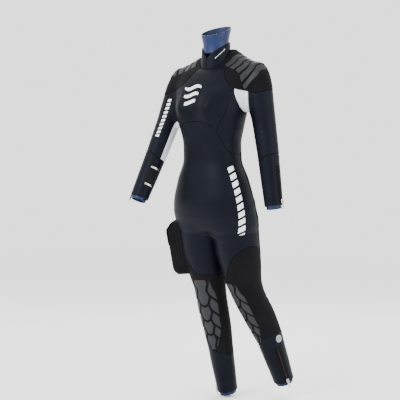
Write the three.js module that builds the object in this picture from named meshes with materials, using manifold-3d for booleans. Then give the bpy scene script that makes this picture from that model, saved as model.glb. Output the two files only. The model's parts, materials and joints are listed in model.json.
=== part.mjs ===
// A full wetsuit for cold water, shaped as it is worn: hollow neoprene panels joined at their seams, blue inner
// seals at the neck, wrists and ankles, a zip down the back and one at each wrist and ankle, knee and shoulder
// guards, and a cargo pocket on the right thigh.
// Millimetres, +Z up. The front faces -Y and the wearer's left is +X. The origin is the centre of the neck
// opening at the level of the nape, so every level of the suit is measured down from it.
import * as THREE from "three";
import { mergeVertices } from "three/addons/utils/BufferGeometryUtils.js";
import Module from "manifold-3d";

const wasm = await Module();
wasm.setup();

// ---------- driving dimensions ----------
const neoprene = 6; // thickness of the suit's panels
const seamGap = 0.4; // between panels that are glued edge to edge
const seat = 0.5; // between a piece and the curved fabric that it lies on
const running = 0.3; // between parts that slide or turn on each other

const crotchLevel = 700; // below the nape
const bustLevel = 242;
const bustSpread = 64; // from the middle to the fullest point
const bustDepth = 24; // how far the fullest point stands out of the ribs
const sleeveLength = 530;
const legLength = 742;

const collarWall = 5;
const collarNotch = 50; // how far below the nape the collar's front notch lies
const collarNape = 23; // how far above it the collar's edge stands at the back
const sealWall = 3;
const sealFront = 40; // the neck seal's rim above the nape, at the front
const sealBack = 84;
const sealTuck = 55; // how far below its rim's lowest point the seal is glued
const cuffSealLength = 50;
const cuffSealShows = 11; // how far a wrist or ankle seal stands out of its hem

const wristZipLength = 150;
const ankleZipLength = 165;
const backZipRadius = 350; // of the arc that the zip follows across the shoulders
const backZipReach = 118; // from the middle of the back to the zip's end
const backZipLevel = 122; // below the nape
const zipSlit = 3;
const tapeWidth = 26;
const tapeWall = 1.2;
const tapeRise = 2.5; // how far the back zip's tape stands off its arc
const teethWidth = 5;
const teethHeight = 2;
const teethMargin = 4; // from the end of the tape to the end of the teeth
const sliderLength = 15;
const sliderWidth = 11;
const sliderRoof = 2;
const pullerLength = 30;
const pullerWidth = 8;
const guardWall = 1.5;

const pocketTop = 20; // down the thigh from the hip
const pocketHeight = 215;
const pocketHalfWidth = 54;
const pocketFace = 122; // from the thigh's axis to the pocket's outer face
const pocketHinge = 94; // from the thigh's axis to the flap's fold
const pocketWall = 3;
const flapWall = 2.5;
const flapDrop = 62; // how far the flap hangs down over the face

// ---------- the body's form ----------
// Each row of a tube is one cross section: how far along, the centre's offset to the wearer's left and back, the
// half width, the half depth, and how square it is (2 is an ellipse). Along a limb the first number is a share of
// its length, and on the trunk it is millimetres below the nape.
const trunkRows = [
  [8, 2, 44, 60, 20, 2],
  [35, 6, 34, 104, 41, 2],
  [65, 6, 21, 148, 56, 2.1],
  [105, 4, -3, 162, 80, 2.2],
  [165, 1, -23, 155, 99, 2.3],
  [bustLevel, 0, -28, 144, 110, 2.3],
  [310, 0, -26, 128, 102, 2.3],
  [375, 0, -24, 115, 92, 2.3],
  [430, 0, -22, 117, 91, 2.3],
  [510, 0, -18, 146, 104, 2.3],
  [600, 0, -14, 168, 116, 2.3],
  [650, 0, -9, 172, 109, 2.2],
  [crotchLevel - 18, 0, -6, 166, 96, 2.1],
  [crotchLevel + 6, 0, -4, 150, 80, 2],
  [crotchLevel + 22, 0, -2, 112, 56, 2],
];
const sleeveRows = [
  [-0.04, 0, 0, 14, 16],
  [-0.02, 0, 0, 30, 32],
  [0.01, 0, 0, 40, 42],
  [0.055, 0, 0, 47, 49],
  [0.13, 0, 0, 51, 53],
  [0.26, 0, 2, 48, 50],
  [0.43, 0, 6, 44, 45],
  [0.62, 0, 6, 41, 42],
  [1, 0, 0, 35, 35],
];
const legRows = [
  [0, 0, 0, 66, 76],
  [0.08, 0, 0, 82, 90],
  [0.165, 0, 0, 84, 88],
  [0.3, 0, 0, 75, 79],
  [0.41, 0, 0, 62, 65],
  [0.48, 0, 0, 59, 62],
  [0.56, 0, 0, 57, 62],
  [0.66, 0, 0, 54, 58],
  [0.74, 0, 0, 50, 52.5],
  [1, 0, 0, 40, 41],
];
const straightLegBend = [0, 0, 0, -2, -4, -4, -2, 3, 2, 0]; // how far back each row of a leg stands
const bentLegBend = [0, -4, -16, -30, -36, -32, -22, -11, -5, 0];
const neckRows = [
  [-100, 0, 4, 52, 58],
  [-40, 0, 0, 49, 51],
  [0, 0, 0, 49, 51],
  [100, 0, 0, 56, 58],
];

// A cubic through the rows that never overshoots, for one column of numbers.
function easeThrough(rows, column, at) {
  const n = rows.length;
  const slope = [];
  for (let i = 0; i < n - 1; i++) {
    slope.push((rows[i + 1][column] - rows[i][column]) / (rows[i + 1][0] - rows[i][0]));
  }
  const tangent = rows.map((_, i) => {
    if (i === 0) return slope[0];
    if (i === n - 1) return slope[n - 2];
    const product = slope[i - 1] * slope[i];
    return product > 0 ? (2 * product) / (slope[i - 1] + slope[i]) : 0;
  });
  let k = 0;
  while (k < n - 2 && at > rows[k + 1][0]) k++;
  const step = rows[k + 1][0] - rows[k][0];
  const s = Math.min(Math.max((at - rows[k][0]) / step, 0), 1);
  const past = at - rows[k][0] - s * step; // beyond an end the tube goes on straight
  const [a, b] = [rows[k][column], rows[k + 1][column]];
  const value =
    (2 * s ** 3 - 3 * s ** 2 + 1) * a +
    (s ** 3 - 2 * s ** 2 + s) * step * tangent[k] +
    (3 * s ** 2 - 2 * s ** 3) * b +
    (s ** 3 - s ** 2) * step * tangent[k + 1];
  return value + past * (past > 0 ? tangent[k + 1] : tangent[k]);
}

// The last stretch of a limb is straight, so that a zip can lie on it: a row is added on the line to its end.
function straightEnd(rows) {
  const [before, end] = rows.slice(-2);
  const share = 0.12;
  const added = before.map((value, i) => value + (end[i] - value) * share);
  return [...rows.slice(0, -1), added, end];
}

// A tube: its rows in millimetres along it, the matrix that places it, and the distances of its rings. Along it is
// local -Z, and its front is local -Y. Rings stand at the cap's rows, then evenly, and a limb has none between the
// start of its straight stretch and its end.
function tube(rows, scale, matrix, rings, { straight = false, cap = 0, swell = null } = {}) {
  const own = rows.map(([at, ...rest]) => [at * scale, ...rest]);
  const [first, last] = [own[cap][0], own[own.length - 1][0]];
  const turn = straight ? own[own.length - 2][0] : last;
  const even = Array.from({ length: rings + 1 }, (_, k) => first + ((turn - first) * k) / rings);
  const capRings = own.slice(0, cap).map((row) => row[0]);
  return { rows: own, matrix, stations: [...capRings, ...even, ...(straight ? [last] : [])], swell };
}

// A point on a tube: phi is the angle from the front towards the wearer's left, t the distance along it, and inset
// how far inside the surface. Between two rings the surface is straight.
function tubePoint(part, phi, t, inset = 0) {
  const { stations } = part;
  let k = 0;
  while (k < stations.length - 2 && t > stations[k + 1]) k++;
  const onRing = (at) => {
    const [x, y, a, b] = [1, 2, 3, 4].map((column) => easeThrough(part.rows, column, at));
    const square = part.rows[0].length > 5 ? easeThrough(part.rows, 5, at) : 2;
    const power = (v) => Math.sign(v) * Math.abs(v) ** (2 / square);
    const px = x + (a - inset) * power(Math.sin(phi));
    const swell = part.swell && Math.cos(phi) > 0 ? part.swell(px, at) : 0;
    return new THREE.Vector3(px, y - swell - (b - inset) * power(Math.cos(phi)), -at);
  };
  const [start, end] = [onRing(stations[k]), onRing(stations[k + 1])];
  const share = (t - stations[k]) / (stations[k + 1] - stations[k]);
  return start.lerp(end, share).applyMatrix4(part.matrix);
}

function limbMatrix(start, aim, frontTurn) {
  const along = new THREE.Vector3(...aim).normalize();
  const front = new THREE.Vector3(Math.sin(frontTurn), -Math.cos(frontTurn), 0);
  front.addScaledVector(along, -front.dot(along)).normalize();
  const side = new THREE.Vector3().crossVectors(front, along);
  return new THREE.Matrix4()
    .makeBasis(side, front.clone().negate(), along.clone().negate())
    .setPosition(...start);
}

const degrees = THREE.MathUtils.degToRad;
const bent = (bend) => straightEnd(legRows.map(([at, x, , a, b], i) => [at, x, bend[i], a, b]));
const bustSwell = (x, t) =>
  bustDepth * Math.exp(-(((Math.abs(x) - bustSpread) / 40) ** 2) - ((t - bustLevel) / 56) ** 2);
const trunk = tube(trunkRows, 1, new THREE.Matrix4(), 18, { swell: bustSwell });
const neck = tube(neckRows, 1, new THREE.Matrix4(), 5);
const armRows = straightEnd(sleeveRows);
const capped = { straight: true, cap: 2 };
const legPlace = {
  left: limbMatrix([84, -5, -640], [38, 297, -682], degrees(-30)),
  right: limbMatrix([-84, -5, -640], [20, 165, -716], degrees(15)),
};
const sleeve = {
  left: tube(armRows, sleeveLength, limbMatrix([172, 27, -86], [92, -15, -522], 0), 6, capped),
  right: tube(armRows, sleeveLength, limbMatrix([-160, 10, -98], [-62, -222, -506], 0), 6, capped),
};
const leg = {
  left: tube(bent(bentLegBend), legLength, legPlace.left, 9, { straight: true }),
  right: tube(bent(straightLegBend), legLength, legPlace.right, 9, { straight: true }),
};
const sideSign = { left: 1, right: -1 };
const sides = ["left", "right"];

// ---------- solids ----------
function geometryOf(points, faces) {
  const flat = new Float32Array(points.flatMap((p) => [p.x, p.y, p.z]));
  return new THREE.BufferGeometry()
    .setAttribute("position", new THREE.BufferAttribute(flat, 3))
    .setIndex(faces.flat());
}

function solidOf(geometry) {
  const bare = geometry.clone();
  bare.deleteAttribute("normal");
  bare.deleteAttribute("uv");
  const merged = mergeVertices(bare, 1e-4);
  return new wasm.Manifold(
    new wasm.Mesh({
      numProp: 3,
      vertProperties: merged.attributes.position.array,
      triVerts: new Uint32Array(merged.index.array),
    }),
  );
}

function geometryFrom(solid) {
  const mesh = solid.getMesh();
  const points = new Float32Array(mesh.numVert * 3);
  for (let i = 0; i < mesh.numVert; i++) {
    points.set(mesh.vertProperties.subarray(i * mesh.numProp, i * mesh.numProp + 3), i * 3);
  }
  return new THREE.BufferGeometry()
    .setAttribute("position", new THREE.BufferAttribute(points, 3))
    .setIndex(new THREE.BufferAttribute(mesh.triVerts, 1));
}

const joined = (solids) => solids.reduce((all, one) => all.add(one));

// The rings that a piece between two distances along a tube needs.
function ringsBetween(part, from, to) {
  const inside = part.stations.filter((t) => t > from + 1 && t < to - 1);
  return [from, ...inside, to];
}

// A closed loft along a tube from one distance to another.
function loft(part, { from, to, around, inset = 0 }) {
  const rings = ringsBetween(part, from, to);
  const points = rings.flatMap((t) =>
    Array.from({ length: around }, (_, j) => tubePoint(part, (2 * Math.PI * j) / around, t, inset)),
  );
  const faces = [];
  const last = (rings.length - 1) * around;
  for (let a = 0; a < last; a++) {
    const b = (a + 1) % around ? a + 1 : a + 1 - around;
    faces.push([a, a + around, b + around], [a, b + around, b]);
  }
  for (let j = 1; j < around - 1; j++) {
    faces.push([0, j, j + 1], [last, last + j + 1, last + j]);
  }
  return geometryOf(points, faces);
}

// A closed band all round a tube between two insets. Its edges may follow the angle.
function band(part, { top, bottom, outer, inner, around, rings = 2 }) {
  const points = [];
  const faces = [];
  for (const inset of [outer, inner]) {
    for (let k = 0; k <= rings; k++) {
      for (let j = 0; j < around; j++) {
        const phi = (2 * Math.PI * j) / around;
        const t = top(phi) + ((bottom(phi) - top(phi)) * k) / rings;
        points.push(tubePoint(part, phi, t, inset));
      }
    }
  }
  const skin = (rings + 1) * around;
  for (let j = 0; j < around; j++) {
    const next = (j + 1) % around;
    for (let k = 0; k < rings; k++) {
      const [a, b] = [k * around + j, k * around + next];
      faces.push([a, a + around, b + around], [a, b + around, b]);
      faces.push([a + skin, b + around + skin, a + around + skin], [a + skin, b + skin, b + around + skin]);
    }
    const foot = rings * around;
    faces.push([j, next, next + skin], [j, next + skin, j + skin]);
    faces.push([foot + j, foot + next + skin, foot + next], [foot + j, foot + j + skin, foot + next + skin]);
  }
  return geometryOf(points, faces);
}

// A closed patch that lies on a tube, between two angles and two distances along it.
function patch(part, { phi, t, lift, thick, across }) {
  const rings = ringsBetween(part, ...t);
  const along = rings.length - 1;
  const points = [];
  const faces = [];
  for (const inset of [-(lift + thick), -lift]) {
    for (const at of rings) {
      for (let j = 0; j <= across; j++) {
        points.push(tubePoint(part, phi[0] + ((phi[1] - phi[0]) * j) / across, at, inset));
      }
    }
  }
  const row = across + 1;
  const skin = row * (along + 1);
  const quad = (a, b, c, d) => faces.push([a, b, c], [a, c, d]);
  for (let k = 0; k < along; k++) {
    for (let j = 0; j < across; j++) {
      const a = k * row + j;
      quad(a, a + row, a + row + 1, a + 1);
      quad(a + skin, a + 1 + skin, a + row + 1 + skin, a + row + skin);
    }
    const [l, r] = [k * row, k * row + across];
    quad(l, l + skin, l + row + skin, l + row);
    quad(r, r + row, r + row + skin, r + skin);
  }
  for (let j = 0; j < across; j++) {
    const [u, d] = [j, along * row + j];
    quad(u, u + 1, u + 1 + skin, u + skin);
    quad(d, d + skin, d + 1 + skin, d + 1);
  }
  return geometryOf(points, faces);
}

// An outline moved outwards by the seam's gap, so that what is cut away leaves room beside the piece.
function widened(outline, by) {
  const n = outline.length;
  const area = outline.reduce((sum, [x, y], i) => {
    const [u, v] = outline[(i + 1) % n];
    return sum + x * v - u * y;
  }, 0);
  const out = Math.sign(area) * by;
  const edgeNormal = (i) => {
    const [a, b] = [outline[(i + n) % n], outline[(i + 1 + n) % n]];
    return new THREE.Vector2(b[1] - a[1], a[0] - b[0]).normalize();
  };
  return outline.map(([x, y], i) => {
    const [before, after] = [edgeNormal(i - 1), edgeNormal(i)];
    const mean = before.clone().add(after).normalize();
    const reach = out / mean.dot(after);
    return [x + mean.x * reach, y + mean.y * reach];
  });
}

// A prism through the suit from an outline in the front view, given for the wearer's left and mirrored by sign.
function frontPrism(outline, [y0, y1], sign, grow = 0) {
  const shape = new THREE.Shape(widened(outline, grow).map(([x, z]) => new THREE.Vector2(x * sign, z)));
  const cut = new THREE.ExtrudeGeometry(shape, { depth: y1 - y0 + 2 * grow, bevelEnabled: false });
  return solidOf(cut.rotateX(Math.PI / 2).translate(0, y1 + grow, 0));
}

// A prism from an outline in the side view: back is the first number and up the second.
function sidePrism(outline, [x0, x1], grow = 0) {
  const shape = new THREE.Shape(widened(outline, grow).map(([y, z]) => new THREE.Vector2(y, z)));
  const cut = new THREE.ExtrudeGeometry(shape, { depth: x1 - x0, bevelEnabled: false });
  const turn = new THREE.Matrix4().makeBasis(
    new THREE.Vector3(0, 1, 0),
    new THREE.Vector3(0, 0, 1),
    new THREE.Vector3(1, 0, 0),
  );
  return solidOf(cut.applyMatrix4(turn).translate(x0, 0, 0));
}

// A prism in a limb's own frame, from an outline seen from its front: outwards first, then the distance along it.
function limbPrism(part, outline, sign, [y0, y1] = [-300, 300], grow = 0) {
  const shape = new THREE.Shape(widened(outline, grow).map(([x, t]) => new THREE.Vector2(x * sign, -t)));
  const cut = new THREE.ExtrudeGeometry(shape, { depth: y1 - y0, bevelEnabled: false });
  return solidOf(cut.rotateX(Math.PI / 2).translate(0, y1, 0).applyMatrix4(part.matrix));
}

// A box in a limb's own frame: its reach sideways, from front to back, and along the limb.
function limbBox(part, x, y, t) {
  const cut = new THREE.BoxGeometry(x[1] - x[0], y[1] - y[0], t[1] - t[0]);
  cut.translate((x[0] + x[1]) / 2, (y[0] + y[1]) / 2, -(t[0] + t[1]) / 2);
  return solidOf(cut.applyMatrix4(part.matrix));
}

// Part of a ring about a vertical axis behind the front of the body, for the zip across the shoulders.
function arcBand({ inner, outer, low, high, reach, steps }) {
  const shape = new THREE.Shape();
  const centre = backOf - backZipRadius;
  const half = Math.asin(reach / backZipRadius);
  const at = (r, a) => [r * Math.sin(a), centre + r * Math.cos(a)];
  const outline = [];
  for (let k = 0; k <= steps; k++) outline.push(at(outer, half - (2 * half * k) / steps));
  for (let k = 0; k <= steps; k++) outline.push(at(inner, -half + (2 * half * k) / steps));
  shape.setFromPoints(outline.map(([x, y]) => new THREE.Vector2(x, y)));
  return new THREE.ExtrudeGeometry(shape, { depth: high - low, bevelEnabled: false }).translate(0, 0, low);
}

// ---------- materials ----------
const material = (color, roughness, metalness = 0) => new THREE.MeshStandardMaterial({ color, roughness, metalness });
const lining = material(0x22252d, 0.8);
const toughKnit = material(0x17161a, 0.85);
const whiteKnit = material(0xc9cad2, 0.7);
const blueSkin = material(0x2f5c9c, 0.5);
const guardPrint = material(0x5b5c63, 0.6);
const tapeCloth = material(0x141315, 0.85);
const castMetal = material(0xb9b7b3, 0.3, 1);
const toothPlastic = material(0x2a2728, 0.4);

const suit = new THREE.Group();

function addMesh(name, geometry, finish) {
  const mesh = new THREE.Mesh(geometry, finish);
  mesh.name = name;
  suit.add(mesh);
  return mesh;
}

const addSolid = (name, solid, finish) => addMesh(name, geometryFrom(solid), finish);

// ---------- the whole suit as one skin ----------
const trunkSides = 26;
const sleeveSides = 12;
const legSides = 14;
const backOf = 77; // how far behind the neck's middle the shoulder blades lie
const topOfTrunk = trunkRows[0][0];
const footOfTrunk = trunkRows[trunkRows.length - 1][0];
const topOfSleeve = sleeveRows[0][0] * sleeveLength;

// The suit's surface, pushed in by inset. The inner surface runs out through the cuffs.
function skin(inset, runOut = 0) {
  const body = { from: topOfTrunk + inset, to: footOfTrunk - inset, around: trunkSides, inset };
  const pieces = [solidOf(loft(trunk, body))];
  for (const side of sides) {
    const arm = { from: topOfSleeve + inset, to: sleeveLength + runOut, around: sleeveSides, inset };
    pieces.push(solidOf(loft(sleeve[side], arm)));
    pieces.push(solidOf(loft(leg[side], { from: inset, to: legLength + runOut, around: legSides, inset })));
  }
  return joined(pieces);
}

const outerSkin = skin(0);
const coveredSkin = skin(-seat); // what lies on the fabric is cut by this
const collarOuter = -(seat + collarWall);
const neckHole = loft(neck, { from: -95, to: 120, around: 24, inset: collarOuter - 2 * seamGap });

// ---------- zips: where each lies, and the slit that it closes ----------
// A cuff zip lies on the outer side of its limb and closes downwards, to the hem.
const cuffZips = sides.flatMap((side) => [
  { name: `wrist_${side}`, part: sleeve[side], side, length: wristZipLength, hem: sleeveLength },
  { name: `ankle_${side}`, part: leg[side], side, length: ankleZipLength, hem: legLength },
]);
const hemToZip = 4;

function cuffSlit({ part, side, length, hem }) {
  const x = [sideSign[side] * 10, sideSign[side] * 90].sort((a, b) => a - b);
  const start = hem - length + tapeWidth / 2;
  const middle = tubePoint({ ...part, matrix: new THREE.Matrix4() }, (sideSign[side] * Math.PI) / 2, hem);
  return limbBox(part, x, [middle.y - zipSlit / 2, middle.y + zipSlit / 2], [start, hem + 20]);
}

const backSlit = solidOf(
  arcBand({
    inner: backZipRadius - 40,
    outer: backZipRadius + 20,
    low: -backZipLevel - zipSlit / 2,
    high: -backZipLevel + zipSlit / 2,
    reach: backZipReach - tapeWidth / 2,
    steps: 8,
  }),
);
const shell = [backSlit, solidOf(neckHole), ...cuffZips.map(cuffSlit)].reduce(
  (all, cut) => all.subtract(cut),
  outerSkin.subtract(skin(neoprene, 20)),
);

// ---------- panels ----------
// Each panel is a region of the skin. Outlines are drawn for the wearer's left and mirrored: outwards, then up.
// The seams in front of the shoulders differ, because the worn suit is turned a little at the chest.
const frontRaglan = {
  left: [[40, 60], [40, -40], [50, -64], [88, -94], [108, -130], [126, -150], [140, -166], [160, -174], [204, -184]],
  right: [[40, 60], [40, -40], [24, -70], [46, -90], [62, -130], [90, -152], [140, -166], [160, -174], [204, -184]],
};
const backRaglan = [
  [30, 60], [36, -12], [48, -34], [104, -66], [124, -104], [126, -150], [138, -168], [160, -174], [204, -184],
];
const sleeveEdge = [[300, -150], [300, 60]];
const sideOutline = [
  [81, -330], [98, -294], [118, -262], [126, -219], [130, -160], [240, -160], [240, -430], [125, -430], [105, -398],
  [92, -368],
];
const bustSeam = [[-0.5, 200], [-0.5, -288], [30, -289], [52, -295], [70, -310], [81, -330], [200, -330], [200, 200]];
const gussetFront = { left: -74, right: -46 }; // the right arm reaches forward over the underarm panel's edge
const gussetOutline = (front) => [
  [front + 4, -160], [front, -182], [front + 12, -210], [front / 2, -238], [-5, -256], [40, -250], [66, -205],
  [66, -160],
];
const wholeDepth = [-400, 400];
const ridge = 12; // the shoulder ridge lies this far behind the neck's middle

function shoulderRegion(side, grow) {
  const sign = sideSign[side];
  const front = frontPrism([...frontRaglan[side], ...sleeveEdge], [-400, ridge], sign, grow);
  const back = frontPrism([...backRaglan, ...sleeveEdge], [ridge - seamGap, 400], sign, grow);
  return front.add(back);
}

// The sleeve's part of the underarm panel is a wedge along the inner, rear side of the upper arm.
function underarmRegion(side, grow) {
  const sign = sideSign[side];
  const reach = [sign * 95, sign * 172].sort((a, b) => a - b);
  const wedgeOutline = widened([[-4, 2], [-70, -14], [-90, 30], [-60, 70], [-30, 60]], grow);
  const wedge = new THREE.Shape(wedgeOutline.map(([x, y]) => new THREE.Vector2(x * sign, y)));
  const strip = new THREE.ExtrudeGeometry(wedge, { depth: 400 + 2 * grow, bevelEnabled: false });
  strip.translate(0, 0, -460 - grow).applyMatrix4(sleeve[side].matrix);
  const armhole = 1.5 * seamGap - grow; // the panel stops this far outside the sleeve
  const arm = solidOf(loft(sleeve[side], { from: 0, to: sleeveLength, around: sleeveSides, inset: -armhole }));
  return sidePrism(gussetOutline(gussetFront[side]), reach, grow).subtract(arm).add(solidOf(strip));
}

// The part of one limb inside an outline that is drawn in that limb's own frame, clear of the other limbs.
function limbRegion(part, around, outline, side) {
  return (grow) => {
    const own = loft(part, { from: 10, to: part.stations.at(-1) + 40, around, inset: -2 - grow });
    return limbPrism(part, outline, sideSign[side], [-150, 150], grow).intersect(solidOf(own));
  };
}

// Outwards and along the limb.
const elbowSeam = [[-150, 380], [-42, 366], [0, 348], [42, 334], [150, 330], [150, 700], [-150, 700]];
const kneeTop = [[-120, 242], [0, 236], [24, 214], [60, 150], [90, 112], [120, 100]];
const kneeBottom = [[120, 505], [45, 515], [0, 560], [-45, 585], [-120, 590]];
const calfOutline = [[-120, 590], [-45, 585], [0, 560], [45, 515], [120, 505], [120, 900], [-120, 900]];

function frontBodyRegion(grow) {
  const halves = sides.map((side) => {
    const lean = side === "left" ? 0.25 : 0.23; // how far back the leg goes for each step down
    const legLine = 300;
    const outline = [
      [-400, 100], [0, 100], [0, -380], [8, -510], [22, -600], [30, -640], [30 + lean * legLine, -640 - legLine],
      [-400, -640 - legLine],
    ];
    const x = side === "left" ? [-0.01, 400] : [-400, 0.01];
    return sidePrism(outline, x, grow);
  });
  return joined(halves);
}

function makePanels() {
  let left = shell;
  const take = (name, region, finish) => {
    addSolid(name, left.intersect(region(0)), finish);
    left = left.subtract(region(seamGap));
  };
  for (const side of sides) {
    const sign = sideSign[side];
    take(`forearm_${side}`, limbRegion(sleeve[side], sleeveSides, elbowSeam, side), lining);
    take(`calf_panel_${side}`, limbRegion(leg[side], legSides, calfOutline, side), lining);
    take(`knee_panel_${side}`, limbRegion(leg[side], legSides, [...kneeTop, ...kneeBottom], side), toughKnit);
    take(`shoulder_panel_${side}`, (grow) => shoulderRegion(side, grow), toughKnit);
    take(`underarm_panel_${side}`, (grow) => underarmRegion(side, grow), whiteKnit);
    const upperArm = (grow) =>
      solidOf(loft(sleeve[side], { from: 40, to: 420, around: sleeveSides, inset: -1 - grow }));
    take(`upper_sleeve_${side}`, upperArm, lining);
    take(`side_panel_${side}`, (grow) => frontPrism(sideOutline, wholeDepth, sign, grow), lining);
  }
  const chest = (grow) =>
    joined(sides.map((side) => frontPrism(bustSeam, [-400, ridge], sideSign[side], grow)));
  const upperBack = (grow) => {
    const cut = new THREE.BoxGeometry(500, 400, 600).translate(0, 200 + ridge - grow, -60 - grow);
    return solidOf(cut);
  };
  take("chest_panel", chest, lining);
  take("upper_back_panel", upperBack, lining);
  take("front_panel", frontBodyRegion, lining);
  addSolid("seat_panel", left, toughKnit);
}
makePanels();

// ---------- collar and seals ----------
const riseFromFront = (phi) => Math.abs(Math.sin(phi / 2)) ** 0.7;
const collarTop = (phi) => collarNotch - (collarNotch + collarNape) * riseFromFront(phi);
const collarFoot = (phi) => 52 + 36 * Math.cos(phi); // the shoulders rise from the front of the neck to its back
const sealTop = (phi) => -(sealFront + sealBack) / 2 + ((sealBack - sealFront) / 2) * Math.cos(phi);

addMesh(
  "collar",
  band(neck, { top: collarTop, bottom: collarFoot, outer: collarOuter, inner: -seat, around: 24 }),
  lining,
);
const sealFoot = () => sealTuck - sealFront + 10;
addMesh(
  "neck_seal",
  band(neck, { top: sealTop, bottom: sealFoot, outer: 0, inner: sealWall, around: 24, rings: 3 }),
  blueSkin,
);
for (const { name, part, hem } of cuffZips) {
  const outer = neoprene + seat;
  addMesh(
    `${name.split("_")[0]}_seal_${name.split("_")[1]}`,
    band(part, {
      top: () => hem - cuffSealLength,
      bottom: () => hem + cuffSealShows,
      outer,
      inner: outer + sealWall,
      around: part === sleeve.left || part === sleeve.right ? sleeveSides : legSides,
    }),
    blueSkin,
  );
}

// ---------- guards, pad and badge ----------
const kneeGuardTurn = { left: degrees(-2), right: degrees(-1) };
for (const side of sides) {
  const sign = sideSign[side];
  const kneeSpan = [degrees(-52), degrees(68)].map((a) => a * sign + kneeGuardTurn[side]).sort((a, b) => a - b);
  addMesh(
    `knee_guard_${side}`,
    patch(leg[side], { phi: kneeSpan, t: [262, 545], lift: seat, thick: guardWall, across: 10 }),
    guardPrint,
  );
}
const shoulderGuardOutline = [
  [74, 60], [74, -58], [96, -86], [140, -112], [190, -148], [230, -160], [300, -130], [300, 60],
];
for (const side of sides) {
  const raised = skin(-(seat + guardWall)).subtract(coveredSkin);
  const region = frontPrism(shoulderGuardOutline, [-62, 58], sideSign[side]);
  addSolid(`shoulder_guard_${side}`, raised.intersect(region).subtract(solidOf(neckHole)), guardPrint);
}

// The pad for a wrist computer has a flat top.
const padTurn = degrees(62);
const padRise = 2.5;
const padWidth = 40;
const padStart = 398;
const padEnd = 486;
function makeForearmPad() {
  const crown = tubePoint({ ...sleeve.right, matrix: new THREE.Matrix4() }, 0, padStart);
  const middle = (sleeveRows.at(-2)[2] + sleeveRows.at(-1)[2]) / 2;
  const height = Math.abs(crown.y - middle) + padRise;
  const block = new THREE.BoxGeometry(padWidth, height, padEnd - padStart);
  block.translate(0, -height / 2, -(padStart + padEnd) / 2).rotateZ(padTurn).translate(0, middle, 0);
  addSolid("forearm_pad_right", solidOf(block.applyMatrix4(sleeve.right.matrix)).subtract(coveredSkin), toughKnit);
}
makeForearmPad();

const badgeRadius = 16;
const badgeAt = 543; // down the left leg
const badgeTurn = degrees(113);
function makeBadge() {
  const disc = new THREE.CylinderGeometry(badgeRadius, badgeRadius, 60, 20).translate(0, -60, 0);
  disc.applyMatrix4(new THREE.Matrix4().makeRotationZ(badgeTurn).setPosition(0, 0, -badgeAt));
  disc.applyMatrix4(leg.left.matrix);
  const layer = loft(leg.left, { from: badgeAt - 30, to: badgeAt + 30, around: 36, inset: -(seat + guardWall) });
  const under = loft(leg.left, { from: badgeAt - 31, to: badgeAt + 31, around: 36, inset: -seat });
  addSolid("calf_badge_left", solidOf(layer).subtract(solidOf(under)).intersect(solidOf(disc)), guardPrint);
}
makeBadge();

// ---------- zips ----------
// A slider straddles the teeth: x is across them, y points away from the fabric and z up the zip.
const channelWidth = teethWidth + 2 * running;
const channelHeight = teethHeight + running;
const sliderHeight = channelHeight + sliderRoof;
const barSize = 1.8;
const eye = barSize * Math.SQRT2 + 2 * running; // the hole through the arch, in which the square bar turns
const archWall = 1.5;
const archLength = eye + 2 * archWall;
const archHeight = eye + archWall;
const archWidth = 3;
const pullerSlot = archWidth + 2 * running;
const pullerRim = 2; // around the hole in the end of a puller

function sliderGeometry(frame) {
  const box = (w, h, d, x, y, z) => solidOf(new THREE.BoxGeometry(w, h, d).translate(x, y, z));
  const block = box(sliderWidth, sliderHeight, sliderLength, 0, sliderHeight / 2, 0);
  const channel = box(channelWidth, channelHeight * 2, sliderLength + 2, 0, 0, 0);
  const root = sliderRoof / 2; // how deep the arch stands in the roof
  const arch = box(archWidth, archHeight + root, archLength, 0, sliderHeight + (archHeight - root) / 2, 0);
  const tunnel = box(archWidth + 2, eye, eye, 0, sliderHeight + eye / 2, 0);
  return geometryFrom(block.subtract(channel).add(arch).subtract(tunnel)).applyMatrix4(frame);
}

// The puller hangs from a bar through the slider's arch. It lies flat when the slider is at rest.
function pullerGeometry(frame) {
  const outline = new THREE.Shape();
  const [w, top, foot, r] = [pullerWidth / 2, barSize / 2, barSize / 2 - pullerLength, 2.5];
  outline.moveTo(-w, top).lineTo(-w, foot + r).absarc(-w + r, foot + r, r, Math.PI, 1.5 * Math.PI, false);
  outline.lineTo(w - r, foot).absarc(w - r, foot + r, r, 1.5 * Math.PI, 2 * Math.PI, false).lineTo(w, top);
  outline.closePath();
  const hole = (x, low, high) => {
    const cut = new THREE.Path();
    return cut.moveTo(-x, low).lineTo(x, low).lineTo(x, high).lineTo(-x, high).closePath();
  };
  const slotFoot = -barSize / 2 - archLength;
  outline.holes.push(hole(pullerSlot / 2, slotFoot, -barSize / 2));
  outline.holes.push(hole(pullerWidth / 2 - pullerRim, foot + 1.5 * pullerRim, slotFoot - 1.5 * pullerRim));
  const plate = new THREE.ExtrudeGeometry(outline, { depth: barSize, bevelEnabled: false, curveSegments: 3 });
  plate.translate(0, 0, -barSize / 2).rotateX(Math.PI / 2).translate(0, sliderHeight + eye / 2, 0);
  return plate.applyMatrix4(frame);
}

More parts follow.
